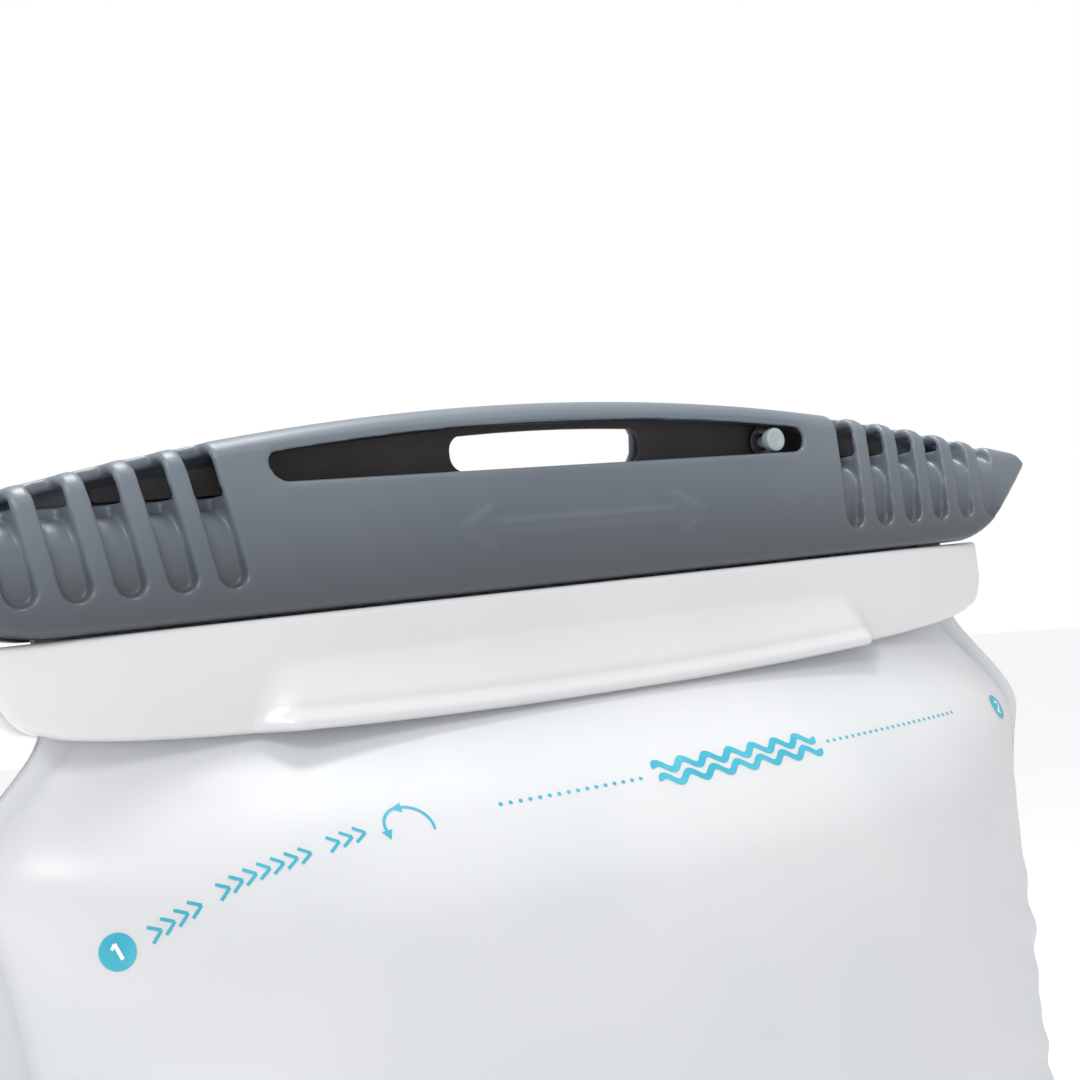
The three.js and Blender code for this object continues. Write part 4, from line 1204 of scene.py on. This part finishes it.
@dataclass
class Prints:
    """The marks printed on the front panel: fill line, fold marks and the two numbered discs."""

    bag: Bag
    proud: float = 0.05
    fill_z: float = -30.9
    dot_pitch: float = 1.62
    wave_start: float = -6.2
    wave_length: float = 35.0

    def turned(self, shape: Surface, degrees: float) -> tuple[Array, Array]:
        """The X and Z of a flat mark's points once it is turned anticlockwise about its centre."""
        a = math.radians(degrees)
        x, z = shape.points[:, 0], shape.points[:, 2]
        return x * math.cos(a) - z * math.sin(a), x * math.sin(a) + z * math.cos(a)

    def placed(
        self, shape: Surface, x: float, z: float, turn: float = 0.0, proud: float | None = None
    ) -> Surface:
        """Lays a flat mark on the film without stretching it.

        Args:
            shape: The mark about its own centre, drawn in (x, z).
            x: Where its centre goes.
            z: The height of its centre.
            turn: How far it turns anticlockwise, in degrees.
            proud: How far it stands off the film.

        Returns:
            The mark on the film: each point is moved along the film's own directions there.
        """
        centre = self.bag.face(np.array([x, x + 0.5, x]), np.array([z, z, z + 0.5]))
        along = (centre[1] - centre[0]) / np.linalg.norm(centre[1] - centre[0])
        up = centre[2] - centre[0]
        up -= along * (up @ along)
        up /= np.linalg.norm(up)
        u, v = self.turned(shape, turn)
        flat = centre[0] + u[:, None] * along + v[:, None] * up
        stand = self.proud if proud is None else proud
        return Surface(self.bag.face(flat[:, 0], flat[:, 2], stand), shape.faces)

    def ribbon(self, path: Array, width: Array | float) -> Surface:
        """A stroke: a path in (x, z) with half the width to each side of it."""
        path = np.asarray(path, float)
        along = np.gradient(path, axis=0)
        along /= np.linalg.norm(along, axis=1, keepdims=True)
        across = np.stack([-along[:, 1], along[:, 0]], axis=1) * (np.asarray(width) / 2)[..., None]
        rows = np.stack([path - across, path, path + across], axis=1)
        points = np.stack([rows[..., 0], 0 * rows[..., 0], rows[..., 1]], axis=-1).reshape(-1, 3)
        return Surface(points, grid_faces(len(path), 3))

    def disc(self, radius: float, rings: int = 4, segments: int = 36) -> Surface:
        """A filled circle as rings of points."""
        r = np.linspace(0.02, 1, rings + 1) * radius
        a = np.linspace(0, 2 * math.pi, segments, endpoint=False)
        x, z = np.outer(r, np.cos(a)), np.outer(r, np.sin(a))
        points = np.stack([x, 0 * x, z], axis=-1).reshape(-1, 3)
        return Surface(points, grid_faces(rings + 1, segments, wrap_columns=True)[:, ::-1])

    def ring_mark(self, radius: float, start: float, end: float, width: float, count: int = 14) -> Surface:
        """A stroke along part of a circle, between two angles in degrees."""
        a = np.radians(np.linspace(start, end, count))
        return self.ribbon(np.stack([radius * np.cos(a), radius * np.sin(a)], axis=1), width)

    def head(self, size: float) -> Surface:
        """A solid arrowhead that points along X, as a stroke that narrows to nothing."""
        path = np.stack([np.linspace(0, size, 5), np.zeros(5)], axis=1)
        return self.ribbon(path, np.linspace(size * 1.05, 0.06, 5))

    def chevron(self, size: float) -> Surface:
        """Two short strokes that meet in a point at the right."""
        paths = [np.array([[-0.35, end], [0, end / 2], [0.35, 0]]) * size for end in (0.5, -0.5)]
        return self.together([self.ribbon(path, 0.2 * size) for path in paths])

    def moved(self, shape: Surface, x: float, z: float, turn: float = 0.0) -> Surface:
        """A flat mark turned about its centre and then shifted."""
        u, v = self.turned(shape, turn)
        return Surface(np.stack([u + x, 0 * u, v + z], axis=1), shape.faces)

    def together(self, shapes: Sequence[Surface]) -> Surface:
        """Several surfaces as one."""
        starts = np.cumsum([0] + [len(shape.points) for shape in shapes[:-1]])
        faces = [shape.faces + start for shape, start in zip(shapes, starts)]
        return Surface(np.concatenate([shape.points for shape in shapes]), np.concatenate(faces))

    def fill_line(self) -> Surface:
        """The dotted line to either side of the fill mark."""
        runs = ((-33.5, -8.4), (31.2, 68.5))
        places = np.concatenate([np.arange(start, end, self.dot_pitch) for start, end in runs])
        dot = self.disc(0.34, 2, 10)
        return self.together([self.placed(dot, float(x), self.fill_z) for x in places])

    def fill_mark(self) -> Surface:
        """The bold mark in the middle of the line: a band of water in two waves."""
        x = np.linspace(0, self.wave_length, 150)
        ripple = 0.62 * np.sin(x * 2 * math.pi / 5.0)
        fade = np.minimum(1, np.minimum(x, self.wave_length - x) / 0.8 + 0.25)
        rows = []
        for lift in (1.05, -0.85):
            path = np.stack([self.wave_start + x, self.fill_z + lift + ripple], axis=1)
            flat = self.ribbon(path, 0.95 * fade)
            rows.append(Surface(self.bag.face(flat.points[:, 0], flat.points[:, 2], self.proud), flat.faces))
        return self.together(rows)

    def fold_marks(self) -> Surface:
        """Three groups of chevrons along the bent line from the first disc to the fold arrow.

        Their starts and pitch are for a line of the given length, and are scaled to its run along
        the film. Each one leans a little less than the line does there.
        """
        line = Bend(
            ((-88.0, -43.0), (-84.7, -40.7), (-77.7, -37.3), (-70.9, -34.6), (-63.9, -33.2), (-52.0, -31.4))
        )
        pitch, length, lean = 2.45, 39.6, 1.6
        x = np.linspace(-83.4, -53.4, 400)
        face = self.bag.face(x, line(x))
        run = np.concatenate([[0], np.cumsum(np.linalg.norm(np.diff(face, axis=0), axis=1))])
        marks = []
        for start, count in ((0.0, 4), (12.6, 7), (32.6, 3)):
            for i in range(count):
                at = float(np.interp((start + pitch * i) * run[-1] / length, run, x))
                below, here, above = (float(z) for z in line(at + np.array([-0.5, 0, 0.5])))
                turn = math.degrees(math.atan2(above - below, lean))
                marks.append(self.placed(self.chevron(2.3), at, here, turn))
        return self.together(marks)

    def fold_arrow(self) -> Surface:
        """The curved arrow that shows the fold: a long sweep to one head and a hook to another."""
        parts = [
            self.moved(self.ring_mark(4.0, -5, 88, 0.42), -1.2, -1.4),
            self.moved(self.head(1.5), -0.9, 2.55, 178),
            self.moved(self.ring_mark(2.6, 95, 200, 0.42), -1.6, 0.0),
            self.moved(self.head(1.5), -4.05, -0.7, 278),
        ]
        return self.placed(self.together(parts), -47.2, -31.2)

    def numeral_one(self) -> Surface:
        """The figure 1: an upright with a short flag."""
        stem = self.ribbon(np.array([[0.1, -1.15], [0.1, 0], [0.1, 1.15]]), 0.5)
        flag = self.ribbon(np.array([[-0.6, 0.6], [-0.3, 0.85], [0.1, 1.1]]), 0.4)
        return self.together([stem, flag])

    def numeral_two(self) -> Surface:
        """The figure 2: a bow, a slanting stroke and a foot."""
        a = np.radians(np.linspace(165, -35, 12))
        bow = np.stack([0.62 * np.cos(a), 0.5 + 0.62 * np.sin(a)], axis=1)
        down = np.array([[0.1, -0.45], [-0.62, -1.02]])
        foot = self.ribbon(np.array([[-0.7, -1.05], [0, -1.05], [0.72, -1.05]]), 0.42)
        return self.together([self.ribbon(np.concatenate([bow, down]), 0.44), foot])

    def build(self, ink: Finish, blank: Finish) -> None:
        """Lays every mark on the front film."""
        rows = [
            ("fill_line_dots", self.fill_line(), ink),
            ("fill_line_waves", self.fill_mark(), ink),
            ("fold_chevrons", self.fold_marks(), ink),
            ("fold_arrow", self.fold_arrow(), ink),
        ]
        for word, x, z, turn, numeral in (
            ("one", -87.9, -41.8, 24.0, self.numeral_one()),
            ("two", 87.7, -32.3, -24.0, self.numeral_two()),
        ):
            rows.append((f"disc_{word}", self.placed(self.disc(2.5), x, z), ink))
            rows.append((f"numeral_{word}", self.placed(numeral, x, z, turn, self.proud + 0.05), blank))
        for name, surface, finish in rows:
            self.bag.bench.lay(name, surface, finish, Body.BAG, "film")


# ---- finishes ----


@dataclass
class Finishes:
    """One material for each finish on the object."""

    def __post_init__(self) -> None:
        """Builds them all."""
        white, clear = tone(232, 232, 230), tone(222, 229, 232)
        self.film = MilkyFilm().material()
        self.rail = Plastic(
            "rail_white", tone(213, 213, 214), tone(208, 209, 211), 0.3, 40, 0.5, 0.006, 0.15
        ).material()
        self.grey = Plastic(
            "slider_grey", tone(108, 116, 124), tone(101, 110, 120), 0.4, 26, 0.3, 0.012, foot=0.95
        ).material()
        self.port = Plastic(
            "port_grey", tone(98, 106, 115), tone(91, 100, 110), 0.4, 14, 0.3, 0.012
        ).material()
        # A black strap that also stands in for the shade in the slider's hollow: partly painted shade.
        self.strap_and_shade_black = Plastic(
            "strap_and_painted_shade_black", tone(36, 33, 34), tone(44, 40, 40), 0.7, 12, 0.4, 0.02
        ).material()
        self.strip = Plastic(
            "lip_strip_white", tone(214, 219, 222), tone(204, 210, 214), 0.5, 20, 0.5, 0.01
        ).material()
        self.stud = Plastic(
            "stud_grey", tone(168, 178, 180), tone(158, 170, 174), 0.38, 3, 0.2, 0.01
        ).material()
        self.washer = Plastic(
            "washer_dark", tone(52, 52, 54), tone(60, 58, 58), 0.3, 3, 0.2, 0.008, 0.5
        ).material()
        self.white = Plastic("valve_white", white, tone(224, 225, 224), 0.38, 9, 0.3, 0.008).material()
        self.clear = Plastic(
            "port_frosted", clear, tone(214, 223, 228), 0.34, 16, 0.4, 0.01, 0.3
        ).material()
        self.latch = Plastic(
            "latch_white", tone(217, 220, 220), tone(208, 212, 212), 0.4, 8, 0.3, 0.01
        ).material()
        self.blue = Plastic(
            "button_blue", tone(62, 160, 188), tone(56, 150, 180), 0.36, 8, 0.3, 0.01, 0.2
        ).material()
        self.rubber = Rubber().material()
        self.steel = Wire().material()
        self.ink = Ink("print_teal", tone(44, 160, 184), tone(86, 182, 198)).material()
        self.blank = Ink("print_window", tone(238, 243, 246), tone(228, 238, 243)).material()


# ---- the studio ----


@dataclass
class Studio:
    """A pale floor, soft lights and the camera."""

    bench: Bench
    eye: tuple[float, float, float] = (-163.36, -231.65, -3.945)
    heading: float = 34.48
    tilt: float = -2.38
    roll: float = -6.71
    lens: float = 56.23

    def camera(self) -> None:
        """Sets the camera: turned to its heading, tilted down by its tilt and rolled about its view."""
        heading, tilt, roll = (math.radians(a) for a in (self.heading, self.tilt, self.roll))
        level = np.array([math.sin(heading), math.cos(heading), 0])
        ahead = math.cos(tilt) * level - math.sin(tilt) * np.array([0, 0, 1])
        up = math.sin(tilt) * level + math.cos(tilt) * np.array([0, 0, 1])
        right = np.array([math.cos(heading), -math.sin(heading), 0])
        right, up = (
            math.cos(roll) * right + math.sin(roll) * up,
            math.cos(roll) * up - math.sin(roll) * right,
        )
        data = bpy.data.cameras.new("camera")
        data.lens, data.sensor_width, data.sensor_fit = self.lens, 36, "HORIZONTAL"
        data.clip_start, data.clip_end = 0.005, 20
        camera = bpy.data.objects.new("camera", data)
        bpy.context.scene.collection.objects.link(camera)
        turn = Matrix(np.column_stack([right, up, -ahead]).tolist()).to_4x4()
        camera.matrix_world = Matrix.Translation(self.bench.metres(np.array(self.eye)).tolist()) @ turn
        bpy.context.scene.camera = camera

    def floor(self) -> None:
        """Lays a wide pale floor just below the lowest point of the object."""
        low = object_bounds()[0].z - 0.004
        mesh = bpy.data.meshes.new("floor")
        mesh.from_pydata([(-6, -6, low), (6, -6, low), (6, 6, low), (-6, 6, low)], [], [(0, 1, 2, 3)])
        g = Graph("floor_pale")
        colour = g.blend(g.noise(400, 2), tone(252, 252, 252), tone(250, 250, 251))
        shader = g.principled(
            {"Base Color": colour, "Roughness": 0.8, "Emission Color": colour, "Emission Strength": 0.16}
        )
        mesh.materials.append(g.finish(shader))
        floor = bpy.data.objects.new("floor", mesh)
        bpy.context.scene.collection.objects.link(floor)
        floor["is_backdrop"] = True

    def light(self, name: str, place: tuple[float, float, float], size: float, power: float) -> None:
        """A soft square light that faces the middle of the object.

        Args:
            name: Its name.
            place: Where it stands, in metres.
            size: The side of the square, in metres.
            power: Its power in watts.
        """
        data = bpy.data.lights.new(name, "AREA")
        data.shape, data.size, data.energy = "SQUARE", size, power
        lamp = bpy.data.objects.new(name, data)
        bpy.context.scene.collection.objects.link(lamp)
        away = np.array(place) - np.array([0, 0, -0.08])
        away /= np.linalg.norm(away)
        side = np.cross([0, 0, 1], away)
        side /= np.linalg.norm(side)
        turn = Matrix(np.column_stack([side, np.cross(away, side), away]).tolist()).to_4x4()
        lamp.matrix_world = Matrix.Translation(place) @ turn

    def lights(self) -> None:
        """A near-white sky, a key from the upper left and a light overhead, a little behind."""
        world = bpy.data.worlds.new("studio")
        bpy.context.scene.world = world
        world.use_nodes = True
        tree = world.node_tree
        sky = tree.nodes["Background"]
        sky.inputs["Color"].default_value = (1, 1, 1, 1)
        seen = tree.nodes.new("ShaderNodeLightPath")
        strength = tree.nodes.new("ShaderNodeMapRange")
        strength.inputs["To Min"].default_value = 0.8
        strength.inputs["To Max"].default_value = 1.0
        tree.links.new(seen.outputs["Is Camera Ray"], strength.inputs["Value"])
        tree.links.new(strength.outputs["Result"], sky.inputs["Strength"])
        self.light("key", (-0.8, -0.55, 0.85), 0.35, 6.0)
        self.light("top", (0.1, 0.15, 0.95), 0.35, 9.0)
        view = bpy.context.scene.view_settings
        view.view_transform, view.look, view.exposure = "Standard", "None", 0.0


def main() -> None:
    """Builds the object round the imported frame."""
    logging.basicConfig(level=logging.INFO, format="%(name)s: %(message)s")
    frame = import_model()
    nodes = frame["nodes"]
    bench = Bench()
    studio = Studio(bench)
    studio.camera()
    studio.floor()
    studio.lights()
    finishes = Finishes()
    bag = Bag(bench)
    bag.build(nodes, finishes.film, finishes.strip)
    Rail(bag).build(finishes.rail)
    Slider(bench).build(nodes, finishes)
    Port(bag).build(nodes, finishes)
    Prints(bag).build(finishes.ink, finishes.blank)


if __name__ == "__main__":
    main()
